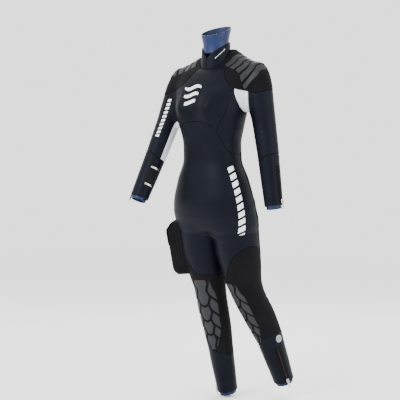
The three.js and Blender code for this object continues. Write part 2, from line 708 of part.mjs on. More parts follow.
function makeCuffZip({ name, part, side, length, hem }) {
  const [limb, which] = name.split("_");
  const phi = (sideSign[side] * Math.PI) / 2;
  const end = hem - hemToZip;
  const start = hem - length;
  const radius = Math.abs(tubePoint({ ...part, matrix: new THREE.Matrix4() }, phi, end).x);
  const spread = (width) => [phi - width / 2 / radius, phi + width / 2 / radius];
  const tape = { phi: spread(tapeWidth), t: [start, end], lift: seat, thick: tapeWall, across: 4 };
  addMesh(`${limb}_zip_tape_${which}`, patch(part, tape), tapeCloth);
  const lift = seat + tapeWall + running;
  const low = tubePoint(part, phi, end, -lift);
  const high = tubePoint(part, phi, start, -lift);
  const up = high.clone().sub(low).normalize();
  const axisPoint = new THREE.Vector3(0, 0, -end).applyMatrix4(part.matrix);
  const away = low.clone().sub(axisPoint);
  away.addScaledVector(up, -away.dot(up)).normalize();
  const across = new THREE.Vector3().crossVectors(away, up);
  const teethLength = length - hemToZip - teethMargin - 1;
  const teeth = new THREE.BoxGeometry(teethWidth, teethHeight, teethLength);
  teeth.translate(0, teethHeight / 2, 1 + teethLength / 2);
  teeth.applyMatrix4(new THREE.Matrix4().makeBasis(across, away, up).setPosition(low));
  addMesh(`${limb}_zip_teeth_${which}`, teeth, toothPlastic);
  const rest = low.clone().addScaledVector(up, sliderLength / 2 + 1);
  const frame = new THREE.Matrix4().makeBasis(across, away, up).setPosition(rest);
  addMesh(`${limb}_zip_slider_${which}`, sliderGeometry(frame), castMetal);
  addMesh(`${limb}_zip_puller_${which}`, pullerGeometry(frame), castMetal);
}
cuffZips.forEach(makeCuffZip);

// The zip across the shoulders follows an arc, so its slider turns about the arc's own upright axis.
function makeBackZip() {
  const high = -backZipLevel + tapeWidth / 2;
  const low = -backZipLevel - tapeWidth / 2;
  const face = backZipRadius + tapeRise;
  const tape = arcBand({ inner: backZipRadius - 12, outer: face, low, high, reach: backZipReach, steps: 12 });
  addSolid("back_zip_tape", solidOf(tape).subtract(coveredSkin), tapeCloth);
  const teeth = {
    inner: face + running,
    outer: face + running + teethHeight,
    low: -backZipLevel - teethWidth / 2,
    high: -backZipLevel + teethWidth / 2,
    reach: backZipReach - teethMargin,
    steps: 12,
  };
  addMesh("back_zip_teeth", arcBand(teeth), toothPlastic);
  const turn = Math.asin((backZipReach - teethMargin - sliderLength) / backZipRadius);
  const centre = new THREE.Vector3(0, backOf - backZipRadius, -backZipLevel);
  const away = new THREE.Vector3(Math.sin(turn), Math.cos(turn), 0);
  const up = new THREE.Vector3(-Math.cos(turn), Math.sin(turn), 0);
  const across = new THREE.Vector3().crossVectors(away, up);
  const rest = centre.clone().addScaledVector(away, face + running);
  const frame = new THREE.Matrix4().makeBasis(across, away, up).setPosition(rest);
  addMesh("back_zip_slider", sliderGeometry(frame), castMetal);
  addMesh("back_zip_puller", pullerGeometry(frame), castMetal);
}
makeBackZip();

// ---------- the thigh pocket ----------
// Drawn in the right leg's frame, seen from behind: outwards is -x, and down the thigh is -z.
function profileAcross(outline, halfWidth) {
  const shape = new THREE.Shape(outline.map(([x, t]) => new THREE.Vector2(-x, -t)));
  const cut = new THREE.ExtrudeGeometry(shape, { depth: 2 * halfWidth, bevelEnabled: false });
  return solidOf(cut.rotateX(Math.PI / 2).translate(0, halfWidth, 0).applyMatrix4(leg.right.matrix));
}

const pocketFoot = pocketTop + pocketHeight;
const lidRise = 30; // how far the pocket's mouth slopes down from the thigh to its outer face
const pocketCorner = 14;
const inward = 40; // the pocket's walls run this far into the thigh before they are cut to it

function makePocket() {
  const mouth = [pocketHinge, pocketTop];
  const lip = [pocketFace, pocketTop + lidRise];
  const outside = [
    [inward, pocketTop], mouth, lip, [pocketFace, pocketFoot - pocketCorner], [pocketFace - pocketCorner, pocketFoot],
    [inward, pocketFoot],
  ];
  const inside = [
    [pocketHinge, pocketTop + pocketWall], [pocketHinge, 0], [pocketFace - pocketWall, 0],
    [pocketFace - pocketWall, pocketFoot - pocketCorner - 1],
    [pocketFace - pocketCorner - 1, pocketFoot - pocketWall],
    [inward - 10, pocketFoot - pocketWall], [inward - 10, pocketTop + pocketWall],
  ];
  const body = profileAcross(outside, pocketHalfWidth)
    .subtract(profileAcross(inside, pocketHalfWidth - pocketWall))
    .subtract(coveredSkin);
  addSolid("pocket_body", body, toughKnit);
}

function makeFlap() {
  const [hinge, face] = [pocketHinge, pocketFace + running];
  const slope = lidRise / (pocketFace - pocketHinge);
  const rise = running + 0.4;
  const start = hinge + 1;
  const under = (x) => pocketTop + (x - hinge) * slope - rise;
  const outline = [
    [start, under(start)], [face, under(face)], [face, pocketTop + lidRise + flapDrop],
    [face + flapWall, pocketTop + lidRise + flapDrop], [face + flapWall, under(face) - flapWall / 2],
    [start, under(start) - flapWall - 1],
  ];
  addSolid("pocket_flap", profileAcross(outline, pocketHalfWidth + 2), toughKnit);
}
makePocket();
makeFlap();

export default suit;
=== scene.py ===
import json
import math

import bmesh
import bpy
import numpy as np
from bpy.props import FloatProperty, FloatVectorProperty, PointerProperty
from mathutils import Matrix, Vector


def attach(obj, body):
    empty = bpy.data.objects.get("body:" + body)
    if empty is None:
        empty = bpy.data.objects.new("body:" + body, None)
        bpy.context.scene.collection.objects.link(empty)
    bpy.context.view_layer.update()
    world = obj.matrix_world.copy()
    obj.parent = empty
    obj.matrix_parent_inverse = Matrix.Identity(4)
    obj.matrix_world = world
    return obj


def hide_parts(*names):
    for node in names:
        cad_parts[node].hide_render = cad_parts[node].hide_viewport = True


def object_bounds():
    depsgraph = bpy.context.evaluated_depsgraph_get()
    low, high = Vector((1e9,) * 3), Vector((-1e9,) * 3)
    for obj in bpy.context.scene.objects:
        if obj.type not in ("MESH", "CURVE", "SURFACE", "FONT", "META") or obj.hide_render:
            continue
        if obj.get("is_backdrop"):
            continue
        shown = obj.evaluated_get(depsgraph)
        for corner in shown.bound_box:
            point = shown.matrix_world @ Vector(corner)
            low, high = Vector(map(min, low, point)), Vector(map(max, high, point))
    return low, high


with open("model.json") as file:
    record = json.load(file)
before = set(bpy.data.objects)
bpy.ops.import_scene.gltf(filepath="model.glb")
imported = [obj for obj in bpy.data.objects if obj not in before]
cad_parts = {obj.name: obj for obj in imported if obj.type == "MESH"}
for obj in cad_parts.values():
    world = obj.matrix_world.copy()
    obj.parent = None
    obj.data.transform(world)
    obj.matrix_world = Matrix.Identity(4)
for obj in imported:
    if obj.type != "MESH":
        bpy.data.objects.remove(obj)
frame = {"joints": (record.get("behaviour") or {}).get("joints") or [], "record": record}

bl_info = {
    "name": "Full Wetsuit",
    "version": (1, 0, 0),
    "blender": (4, 5, 0),
    "location": "View3D > Sidebar > Wetsuit",
    "description": "Dresses the wetsuit's frame in sewn panels, seals, guards, zips and a thigh pocket",
    "category": "Object",
}

MM = 0.001  # sizes below are in millimetres, and meshes in metres
SIDES = {"left": 1.0, "right": -1.0}  # the wearer's, as a sign of x

# ---------- the body that the suit is cut for: rings along each tube ----------
# distance along, centre x and y, half width, half depth, squareness
TRUNK_RINGS = [
    (8, 2, 44, 60, 20, 2), (35, 6, 34, 104, 41, 2), (65, 6, 21, 148, 56, 2.1), (105, 4, -3, 162, 80, 2.2),
    (165, 1, -23, 155, 99, 2.3), (242, 0, -28, 144, 110, 2.3), (310, 0, -26, 128, 102, 2.3),
    (375, 0, -24, 115, 92, 2.3), (430, 0, -22, 117, 91, 2.3), (510, 0, -18, 146, 104, 2.3),
    (600, 0, -14, 168, 116, 2.3), (650, 0, -9, 172, 109, 2.2), (682, 0, -6, 166, 96, 2.1),
    (706, 0, -4, 150, 80, 2), (722, 0, -2, 112, 56, 2),
]
SLEEVE_LENGTH = 530.0
LEG_LENGTH = 742.0
# share of the length, centre x and y, half width, half depth
SLEEVE_RINGS = [
    (-0.04, 0, 0, 14, 16), (-0.02, 0, 0, 30, 32), (0.01, 0, 0, 40, 42), (0.055, 0, 0, 47, 49), (0.13, 0, 0, 51, 53),
    (0.26, 0, 2, 48, 50), (0.43, 0, 6, 44, 45), (0.62, 0, 6, 41, 42), (1, 0, 0, 35, 35),
]
LEG_RINGS = [
    (0, 66, 76), (0.08, 82, 90), (0.165, 84, 88), (0.3, 75, 79), (0.41, 62, 65), (0.48, 59, 62), (0.56, 57, 62),
    (0.66, 54, 58), (0.74, 50, 52.5), (1, 40, 41),
]
LEG_BENDS = {"left": (0, -4, -16, -30, -36, -32, -22, -11, -5, 0), "right": (0, 0, 0, -2, -4, -4, -2, 3, 2, 0)}
NECK_RINGS = [(-100, 0, 4, 52, 58), (-40, 0, 0, 49, 51), (0, 0, 0, 49, 51), (100, 0, 0, 56, 58)]
SLEEVE_PLACES = {"left": ((172, 27, -86), (92, -15, -522), 0), "right": ((-160, 10, -98), (-62, -222, -506), 0)}
LEG_PLACES = {"left": ((84, -5, -640), (38, 297, -682), -30), "right": ((-84, -5, -640), (20, 165, -716), 15)}
BUST_LEVEL, BUST_SPREAD, BUST_DEPTH = 242.0, 64.0, 24.0

WRIST_ZIP, ANKLE_ZIP, HEM_TO_ZIP, TAPE_HALF = 150.0, 165.0, 4.0, 13.0
BACK_ZIP_RADIUS, BACK_ZIP_REACH, BACK_ZIP_LEVEL, BLADE_DEPTH = 350.0, 118.0, 122.0, 77.0
POCKET_TOP, POCKET_HEIGHT, POCKET_HALF, POCKET_FACE, POCKET_HINGE = 20.0, 215.0, 54.0, 122.0, 94.0

# the sliders and pullers: a square bar turns in a slider's arch with a little running room
SLIDER_HALF_LENGTH, SLIDER_TOP, PULLER_BAR, RUNNING_ROOM = 7.5, 4.3, 1.8, 0.3
BACK_ZIP_CENTRE = BLADE_DEPTH - BACK_ZIP_RADIUS
ARCH_EYE = PULLER_BAR * math.sqrt(2) + 2 * RUNNING_ROOM

COLLAR_ROOM, NECK_FOOT = 6.3, -140.0  # the hole for the neck, and the level under which nothing is cut for it
FAR = 50.0
STITCH_INSET = 3.6  # from a seam to its row of stitches
SKIN_REACH = 12.0  # a plate on a limb keeps to the skin within this distance of the limb's own surface
CAMERA_TURN, CAMERA_RISE, CAMERA_LENS, CAMERA_DISTANCE = math.radians(38), math.radians(2), 111.6, 4.8
FLOOR_GAP = 0.004
BADGE_ANGLE, BADGE_LEVEL, CALF_RADIUS = math.radians(113), 543.0, 56.0
PAD_ANGLE, FOREARM_RADIUS = math.radians(62), 39.0


def placement(axes, origin):
    """The matrix that sets x, y and z along three axes, from an origin."""
    m = Matrix.Identity(4)
    for i in range(3):
        for j in range(3):
            m[i][j] = axes[j][i]
        m[i][3] = origin[i]
    return m


def ease(rows, column, at):
    """A cubic through one column of the rings that never overshoots; straight on beyond the ends."""
    t, v = rows[:, 0], rows[:, column]
    slope = np.diff(v) / np.diff(t)
    product = slope[:-1] * slope[1:]
    total = np.where(product > 0, slope[:-1] + slope[1:], 1.0)
    tangent = np.concatenate([slope[:1], np.where(product > 0, 2 * product / total, 0.0), slope[-1:]])
    k = np.clip(np.searchsorted(t, at) - 1, 0, len(t) - 2)
    step = t[k + 1] - t[k]
    s = np.clip((at - t[k]) / step, 0, 1)
    past = at - t[k] - s * step
    value = (
        (2 * s**3 - 3 * s**2 + 1) * v[k]
        + (s**3 - 2 * s**2 + s) * step * tangent[k]
        + (3 * s**2 - 2 * s**3) * v[k + 1]
        + (s**3 - s**2) * step * tangent[k + 1]
    )
    return value + past * np.where(past > 0, tangent[k + 1], tangent[k])


class Tube:
    """A tube through rings, along its own -Z, with its front along its own -Y."""

    def __init__(self, rings, length=1.0, place=None, bust=False, runs_on=0.0):
        self.rings = np.array(rings, float)
        self.rings[:, 0] *= length
        self.origin, self.basis = np.zeros(3), np.eye(3)
        self.bust, self.runs_on = bust, runs_on
        if place:
            start, aim, turn = place
            down = np.array(aim, float) / np.linalg.norm(aim)
            turn = math.radians(turn)
            front = np.array([math.sin(turn), -math.cos(turn), 0.0])
            front -= down * (front @ down)
            front /= np.linalg.norm(front)
            self.origin = np.array(start, float)
            self.basis = np.stack([np.cross(front, down), -front, -down], axis=1)

    def matrix(self):
        return placement(self.basis.T, self.origin)

    def local(self, p):
        return (p - self.origin) @ self.basis

    def world(self, q):
        return q @ self.basis.T + self.origin

    def section(self, t):
        square = ease(self.rings, 5, t) if self.rings.shape[1] > 5 else np.full_like(t, 2.0)
        return [ease(self.rings, c, t) for c in (1, 2, 3, 4)] + [square]

    def around(self, p):
        """The angle from the front towards the wearer's left, the distance along and the distance out."""
        q = self.local(p)
        t = -q[:, 2]
        cx, cy = self.section(t)[:2]
        return np.arctan2(q[:, 0] - cx, -(q[:, 1] - cy)), t, self.distance(p)

    def distance(self, p):
        q = self.local(p)
        first, last = self.rings[0, 0], self.rings[-1, 0] + self.runs_on
        t = np.clip(-q[:, 2], first, last)
        cx, cy, a, b, n = self.section(t)
        y = q[:, 1].copy()
        if self.bust:
            swell = BUST_DEPTH * np.exp(
                -(((np.abs(q[:, 0]) - BUST_SPREAD) / 40) ** 2) - ((t - BUST_LEVEL) / 56) ** 2
            )
            y += swell * np.clip((cy - y) / b, 0, 1)
        dx, dy = q[:, 0] - cx, y - cy
        share = (np.abs(dx / a) ** n + np.abs(dy / b) ** n) ** (1 / n)
        radial = np.hypot(dx, dy) * (1 - 1 / np.maximum(share, 1e-4))
        radial = np.where(share < 0.05, -np.minimum(a, b), radial)
        beyond = np.maximum(first + q[:, 2], -q[:, 2] - last)
        return np.maximum(radial, beyond)

    def surface(self, phi, t, inset=0.0):
        phi, t = np.broadcast_arrays(np.asarray(phi, float), np.asarray(t, float))
        cx, cy, a, b, n = self.section(t)
        power = lambda v: np.sign(v) * np.abs(v) ** (2 / n)
        x = cx + (a - inset) * power(np.sin(phi))
        y = cy - (b - inset) * power(np.cos(phi))
        return self.world(np.stack([x, y, -t], axis=-1))


def straight_end(rings):
    """Adds a ring on the line to the last one, so that the end of a limb is straight and a zip can lie on it."""
    before, end = np.array(rings[-2], float), np.array(rings[-1], float)
    return [*rings[:-1], tuple(before + (end - before) * 0.12), rings[-1]]


TRUNK = Tube(TRUNK_RINGS, bust=True)
NECK = Tube(NECK_RINGS)
SLEEVES = {s: Tube(straight_end(SLEEVE_RINGS), SLEEVE_LENGTH, SLEEVE_PLACES[s], runs_on=24) for s in SIDES}
LEGS = {
    s: Tube(
        straight_end([(t, 0, bend, a, b) for (t, a, b), bend in zip(LEG_RINGS, LEG_BENDS[s])]),
        LEG_LENGTH, LEG_PLACES[s], runs_on=24,
    )
    for s in SIDES
}
LIMBS = [(SLEEVES[s], SLEEVE_LENGTH) for s in SIDES] + [(LEGS[s], LEG_LENGTH) for s in SIDES]


def least(*values):
    """The smallest of several signed depths: inside all of them."""
    return np.minimum.reduce(values)


def soft_min(a, b, reach):
    """The smaller of two distances, with a fillet where they are closer than reach."""
    near = np.maximum(reach - np.abs(a - b), 0) / reach
    return np.minimum(a, b) - near * near * reach / 4


ARM_BLEND, CROTCH_BLEND, HIP_BLEND = 36.0, 8.0, 40.0


def body_distance(p):
    """How far a point lies outside the smooth skin of the whole body."""
    body = TRUNK.distance(p)
    for s in SIDES:
        body = soft_min(body, SLEEVES[s].distance(p), ARM_BLEND)
    legs = soft_min(LEGS["left"].distance(p), LEGS["right"].distance(p), CROTCH_BLEND)
    return soft_min(body, legs, HIP_BLEND)


def slope_of(p, reach=1.5):
    g = np.empty_like(p)
    for axis in range(3):
        d = np.zeros(3)
        d[axis] = reach
        g[:, axis] = (body_distance(p + d) - body_distance(p - d)) / (2 * reach)
    return g


def outwards(p):
    g = slope_of(p)
    return g / np.maximum(np.linalg.norm(g, axis=1, keepdims=True), 1e-6)


def settle(p, times=2):
    """Moves points onto the skin."""
    for _ in range(times):
        g = slope_of(p)
        p = p - g * (body_distance(p) / np.maximum((g * g).sum(1), 0.05))[:, None]
    return p


# ---------- meshes as arrays: points in millimetres, and triangles ----------
def skin_net(step):
    """The skin as a mesh: one point in each cell of a grid that the skin passes through."""
    low, high = np.array([-330.0, -320, -1470]), np.array([320.0, 360, 40])
    count = np.ceil((high - low) / step).astype(int)
    wide = 4
    coarse = [low[i] + np.arange(0, count[i] + wide, wide) * step for i in range(3)]
    cp = np.stack(np.meshgrid(*coarse, indexing="ij"), -1).reshape(-1, 3)
    cv = body_distance(cp).reshape([len(c) for c in coarse])
    index = [np.minimum(np.round(np.arange(n) / wide).astype(int), len(c) - 1) for n, c in zip(count, coarse)]
    values = cv[np.ix_(*index)].astype(np.float64)
    near = np.abs(values) < 4.2 * step  # only here is the fine grid worked out
    where = np.argwhere(near)
    values[near] = body_distance(low + where * step)
    inside = values < 0
    corner = [(i, j, k) for i in (0, 1) for j in (0, 1) for k in (0, 1)]
    cut = lambda a, c: a[c[0] : a.shape[0] - 1 + c[0], c[1] : a.shape[1] - 1 + c[1], c[2] : a.shape[2] - 1 + c[2]]
    total = sum(cut(inside, c).astype(np.int8) for c in corner)
    mixed = (total > 0) & (total < 8)
    number = np.full(mixed.shape, -1)
    number[mixed] = np.arange(mixed.sum())
    at = np.argwhere(mixed)
    point = np.zeros((len(at), 3))
    crossings = np.zeros(len(at))
    for c in corner:
        for axis in range(3):
            if c[axis]:
                continue
            d = list(c)
            d[axis] = 1
            va = values[tuple((at + c).T)]
            vb = values[tuple((at + d).T)]
            crosses = (va < 0) != (vb < 0)
            share = np.where(crosses, va / np.where(crosses, va - vb, 1), 0)
            where = np.array(c, float)[None] + np.zeros((len(at), 3))
            where[:, axis] += share
            point += where * crosses[:, None]
            crossings += crosses
    point = low + (at + point / crossings[:, None]) * step
    quads = []
    for axis in range(3):
        u, v = (axis + 1) % 3, (axis + 2) % 3
        shape = list(inside.shape)
        first = [slice(1, n - 1) for n in shape]
        first[axis] = slice(0, shape[axis] - 1)
        second = list(first)
        second[axis] = slice(1, shape[axis])
        crosses = inside[tuple(first)] != inside[tuple(second)]
        spots = np.argwhere(crosses) + [0 if i == axis else 1 for i in range(3)]
        solid_first = inside[tuple(spots.T)]
        around = []
        for du, dv in ((0, 0), (1, 0), (1, 1), (0, 1)):
            cell = spots.copy()
            cell[:, u] -= du
            cell[:, v] -= dv
            around.append(number[tuple(cell.T)])
        quad = np.stack(around, 1)
        quad[~solid_first] = quad[~solid_first][:, ::-1]
        quads.append(quad)
    quads = np.concatenate(quads)
    quads = quads[(quads >= 0).all(1)]
    for _ in range(3):  # evens the points out along the skin
        sums, counts = np.zeros_like(point), np.zeros(len(point))
        for a, b in ((0, 1), (1, 2), (2, 3), (3, 0)):
            np.add.at(sums, quads[:, a], point[quads[:, b]])
            np.add.at(counts, quads[:, a], 1)
            np.add.at(sums, quads[:, b], point[quads[:, a]])
            np.add.at(counts, quads[:, b], 1)
        even = sums / np.maximum(counts, 1)[:, None]
        point = settle(point + 0.6 * (even - point), 1)
    point = settle(point, 2)
    return point, np.concatenate([quads[:, [0, 1, 2]], quads[:, [0, 2, 3]]])


def split(points, tris, value):
    """Cuts a mesh along the line where value is 0. Returns the points, the triangles and which are inside."""
    value = np.where(np.abs(value) < 0.12, np.where(value < 0, -0.12, 0.12), value)
    inside = value > 0
    sides = inside[tris]
    count = sides.sum(1)
    whole = tris[(count == 0) | (count == 3)]
    whole_in = (count == 3)[(count == 0) | (count == 3)]
    mixed = tris[(count == 1) | (count == 2)]
    if not len(mixed):
        return points, tris, count == 3, np.zeros((0, 2), int)
    mixed_in = inside[mixed]
    lone_in = mixed_in.sum(1) == 1
    lone = np.argmax(mixed_in == lone_in[:, None], axis=1)
    row = np.arange(len(mixed))
    a, b, c = (mixed[row, (lone + k) % 3] for k in range(3))
    ends = np.sort(np.concatenate([np.stack([a, b], 1), np.stack([a, c], 1)]), axis=1)
    keys, back = np.unique(ends[:, 0] * len(points) + ends[:, 1], return_inverse=True)
    i, j = keys // len(points), keys % len(points)
    share = value[i] / (value[i] - value[j])
    fresh = points[i] + (points[j] - points[i]) * share[:, None]
    ab, ac = len(points) + back[: len(mixed)], len(points) + back[len(mixed) :]
    tips = np.stack([a, ab, ac], 1)
    rest = np.concatenate([np.stack([ab, b, c], 1), np.stack([ab, c, ac], 1)])
    all_tris = np.concatenate([whole, tips, rest])
    all_in = np.concatenate([whole_in, lone_in, ~lone_in, ~lone_in])
    return np.concatenate([points, fresh]), all_tris, all_in, np.stack([ab, ac], 1)


def compact(points, tris):
    """Leaves out the points that no triangle uses."""
    used, back = np.unique(tris, return_inverse=True)
    return points[used], back.reshape(tris.shape)


def refine(points, tris):
    """Each triangle becomes four, and the new points are set on the skin."""
    ends = np.sort(np.concatenate([tris[:, [0, 1]], tris[:, [1, 2]], tris[:, [2, 0]]]), axis=1)
    keys, back = np.unique(ends[:, 0] * len(points) + ends[:, 1], return_inverse=True)
    middle = settle((points[keys // len(points)] + points[keys % len(points)]) / 2, 1)
    ab, bc, ca = np.split(len(points) + back, 3)
    a, b, c = tris.T
    small = [np.stack(t, 1) for t in ((a, ab, ca), (ab, b, bc), (ca, bc, c), (ab, bc, ca))]
    return np.concatenate([points, middle]), np.concatenate(small)


def rim_edges(tris):
    """The edges that only one triangle has, each turned as in its triangle."""
    edges = np.concatenate([tris[:, [0, 1]], tris[:, [1, 2]], tris[:, [2, 0]]])
    ends = np.sort(edges, axis=1)
    _, first, count = np.unique(ends[:, 0] * (tris.max() + 1) + ends[:, 1], return_index=True, return_counts=True)
    return edges[first[count == 1]]


def closed_shell(face, back, tris):
    """Joins a face and its back, which share their triangles, by a wall round the rim."""
    rim, n = rim_edges(tris), len(face)
    walls = [np.stack([rim[:, 1], rim[:, 0], rim[:, 0] + n], 1), np.stack([rim[:, 1], rim[:, 0] + n, rim[:, 1] + n], 1)]
    return np.concatenate([face, back]), np.concatenate([tris, tris[:, ::-1] + n, *walls])


def edge_distance(points, tris, reach=16.0):
    """How far each point lies from the mesh's rim, up to reach."""
    rim = rim_edges(tris)
    a, b = points[rim[:, 0]], points[rim[:, 1]]
    found = np.full(len(points), reach)
    size = 30.0
    cell_of = lambda p: np.floor(p / size).astype(int)
    bins = {}
    for number, cell in enumerate(map(tuple, cell_of((a + b) / 2))):
        bins.setdefault(cell, []).append(number)
    cells = cell_of(points)
    groups = {}
    for number, cell in enumerate(map(tuple, cells)):
        groups.setdefault(cell, []).append(number)
    for cell, members in groups.items():
        near = [
            e
            for dx in (-1, 0, 1) for dy in (-1, 0, 1) for dz in (-1, 0, 1)
            for e in bins.get((cell[0] + dx, cell[1] + dy, cell[2] + dz), ())
        ]
        if not near:
            continue
        p = points[members][:, None]
        start, along = a[near][None], (b[near] - a[near])[None]
        share = np.clip(((p - start) * along).sum(2) / np.maximum((along**2).sum(2), 1e-9), 0, 1)
        gap = np.linalg.norm(p - start - along * share[..., None], axis=2).min(1)
        found[members] = np.minimum(found[members], gap)
    return found


def smooth(x):
    x = np.clip(x, 0, 1)
    return x * x * (3 - 2 * x)


# ---------- outlines and regions: a positive number means inside ----------
def rounded(outline, times=2):
    """An outline with its corners cut twice, as a sewn seam turns."""
    p = np.array(outline, float)
    for _ in range(times):
        q = np.roll(p, -1, axis=0)
        p = np.stack([0.8 * p + 0.2 * q, 0.2 * p + 0.8 * q], 1).reshape(-1, 2)
    return p


def inside_outline(x, y, outline):
    """How deep (x, y) lies inside an outline, negative outside it."""
    o = np.asarray(outline, float)
    nxt = np.roll(o, -1, axis=0)
    best, odd = np.full(x.shape, 1e9), np.zeros(x.shape, bool)
    for (ax, ay), (bx, by) in zip(o, nxt):
        dx, dy = bx - ax, by - ay
        s = np.clip(((x - ax) * dx + (y - ay) * dy) / max(dx * dx + dy * dy, 1e-9), 0, 1)
        best = np.minimum(best, np.hypot(x - ax - s * dx, y - ay - s * dy))
        if ay != by:
            odd ^= ((ay > y) != (by > y)) & (x < (bx - ax) * (y - ay) / (by - ay) + ax)
    return np.where(odd, best, -best)


FRONT_RAGLAN = {
    "left": [(50, -64), (88, -94), (108, -130), (126, -150), (140, -166), (160, -174), (204, -184)],
    "right": [(24, -70), (46, -90), (62, -130), (90, -152), (140, -166), (160, -174), (204, -184)],
}
BACK_RAGLAN = [(36, -12), (48, -34), (104, -66), (124, -104), (126, -150), (138, -168), (160, -174), (204, -184)]
SIDE_OUTLINE = [
    (81, -330), (98, -294), (118, -262), (126, -219), (130, -160), (240, -160), (240, -430), (125, -430),
    (105, -398), (92, -368),
]
BUST_SEAM = [(-90, 200), (-90, -288), (30, -289), (52, -295), (70, -310), (81, -330), (200, -330), (200, 200)]
GUSSET_FRONT = {"left": -74.0, "right": -46.0}
ELBOW_SEAM = [(-150, 380), (-42, 366), (0, 348), (42, 334), (150, 330), (150, 700), (-150, 700)]
KNEE_PANEL = [
    (-120, 242), (0, 236), (24, 214), (60, 150), (90, 112), (120, 100), (120, 505), (45, 515), (0, 560), (-45, 585),
    (-120, 590),
]
CALF_PANEL = [(-120, 590), (-45, 585), (0, 560), (45, 515), (120, 505), (120, 900), (-120, 900)]
RIDGE = 12.0


def open_corners(points, corners):
    """A seam between far corners: only the seam's own points are rounded."""
    return np.concatenate([rounded_line(points), np.array(corners, float)])


def rounded_line(points, times=2):
    """A line with its corners cut, and its ends kept."""
    p = np.array(points, float)
    for _ in range(times):
        mid = np.stack([0.8 * p[:-1] + 0.2 * p[1:], 0.2 * p[:-1] + 0.8 * p[1:]], 1).reshape(-1, 2)
        p = np.concatenate([p[:1], mid[1:-1], p[-1:]])
    return p


def in_limb(tube, outline, sign):
    """A panel round part of a limb, from its outline seen from the front."""
    o = rounded(outline)

    def region(p):
        q = tube.local(p)
        return np.minimum(inside_outline(q[:, 0] * sign, -q[:, 2], o), 14 - tube.distance(p))

    return region


def in_shoulder(side):
    """The panel over a shoulder, between the raglan seams of the front and the back."""
    sign = SIDES[side]
    front = open_corners([(40, 60), (40, -40)] + FRONT_RAGLAN[side], [(300, -150), (300, 60)])
    back = open_corners([(30, 60)] + BACK_RAGLAN, [(300, -150), (300, 60)])

    def region(p):
        behind = smooth((p[:, 1] - RIDGE + 14) / 28)
        x, z = p[:, 0] * sign, p[:, 2]
        return inside_outline(x, z, front) * (1 - behind) + inside_outline(x, z, back) * behind

    return region


def in_underarm(side):
    """The gusset in the armpit with the strip that runs down the sleeve's inner side."""
    sign, f, sleeve = SIDES[side], GUSSET_FRONT[side], SLEEVES[side]
    gusset = rounded(
        [(f + 4, -150), (f, -182), (f + 12, -210), (f / 2, -238), (-5, -256), (40, -250), (66, -205), (66, -150)]
    )
    wedge = rounded([(-4, 2), (-70, -14), (-90, 30), (-60, 70), (-30, 60)], 1)

    def region(p):
        x = p[:, 0] * sign
        body = np.minimum(inside_outline(p[:, 1], p[:, 2], gusset), np.minimum(x - 95, 172 - x))
        body = np.minimum(body, sleeve.distance(p) - 3)
        q = sleeve.local(p)
        strip = np.minimum(inside_outline(q[:, 0] * sign, q[:, 1], wedge), np.minimum(-q[:, 2] - 60, 460 + q[:, 2]))
        return np.maximum(body, np.minimum(strip, 16 - sleeve.distance(p)))

    return region


def in_upper_arm(side):
    sleeve = SLEEVES[side]
    return lambda p: np.minimum(-sleeve.local(p)[:, 2] - 40, 16 - sleeve.distance(p))


def in_side(side):
    sign, outline = SIDES[side], rounded(SIDE_OUTLINE)
    return lambda p: inside_outline(p[:, 0] * sign, p[:, 2], outline)


CHEST_OUTLINE = rounded(BUST_SEAM)


def in_chest(p):
    return np.minimum(inside_outline(np.abs(p[:, 0]), p[:, 2], CHEST_OUTLINE), RIDGE - p[:, 1])


def in_upper_back(p):
    return np.minimum(p[:, 1] - RIDGE, p[:, 2] + 360)


def in_front(p):
    z = p[:, 2]
    lean = np.where(p[:, 0] > 0, 0.25, 0.23)
    line = np.interp(-z, [0, 380, 510, 600, 640], [0, 0, 8, 22, 30])
    line = line + lean * np.maximum(-640 - z, 0)
    return line - p[:, 1]


def trimmed(p):
    """Positive on the suit: off the neck's hole, and above each hem."""
    keep = np.where(p[:, 2] < NECK_FOOT, FAR, NECK.distance(p) - COLLAR_ROOM)
    for tube, length in LIMBS:
        t = -tube.local(p)[:, 2]
        own = (tube.distance(p) < 12) & (t > length - 60)
        keep = np.where(own, np.minimum(keep, length - t), keep)
    return keep


# ---------- objects ----------
COLLECTION = "Wetsuit"


def link(obj):
    home = bpy.data.collections.get(COLLECTION)
    if home is None:
        home = bpy.data.collections.new(COLLECTION)
        bpy.context.scene.collection.children.link(home)
    home.objects.link(obj)
    return obj


def new_piece(name, points, faces, material, near_seam=None):
    """A smooth-shaded object from points and faces; the place is in the mesh."""
    mesh = bpy.data.meshes.new(name)
    points = np.asarray(points, float) * MM
    faces = np.asarray(faces, int)
    mesh.vertices.add(len(points))
    mesh.vertices.foreach_set("co", points.astype(np.float32).ravel())
    size = faces.shape[1]
    mesh.loops.add(faces.size)
    mesh.loops.foreach_set("vertex_index", faces.astype(np.int32).ravel())
    mesh.polygons.add(len(faces))
    mesh.polygons.foreach_set("loop_start", np.arange(0, faces.size, size, dtype=np.int32))
    mesh.polygons.foreach_set("loop_total", np.full(len(faces), size, dtype=np.int32))
    mesh.update(calc_edges=True)
    mesh.validate()
    mesh.polygons.foreach_set("use_smooth", [True] * len(mesh.polygons))
    if near_seam is not None:
        layer = mesh.attributes.new("near_seam", "FLOAT", "POINT")
        layer.data.foreach_set("value", np.asarray(near_seam, np.float32))
    mesh.materials.append(material)
    return link(bpy.data.objects.new(name, mesh))


def body_of_node(node):
    for body, nodes in frame["record"]["behaviour"]["bodies"].items():
        if node in nodes:
            return body
    raise RuntimeError(f"no body holds {node}")


def finish_piece(obj, node, trim=False):
    """The piece rides on its node's body and takes the node's place, unless it is only trim on it."""
    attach(obj, body_of_node(node))
    if not trim:
        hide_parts(node)
    return obj


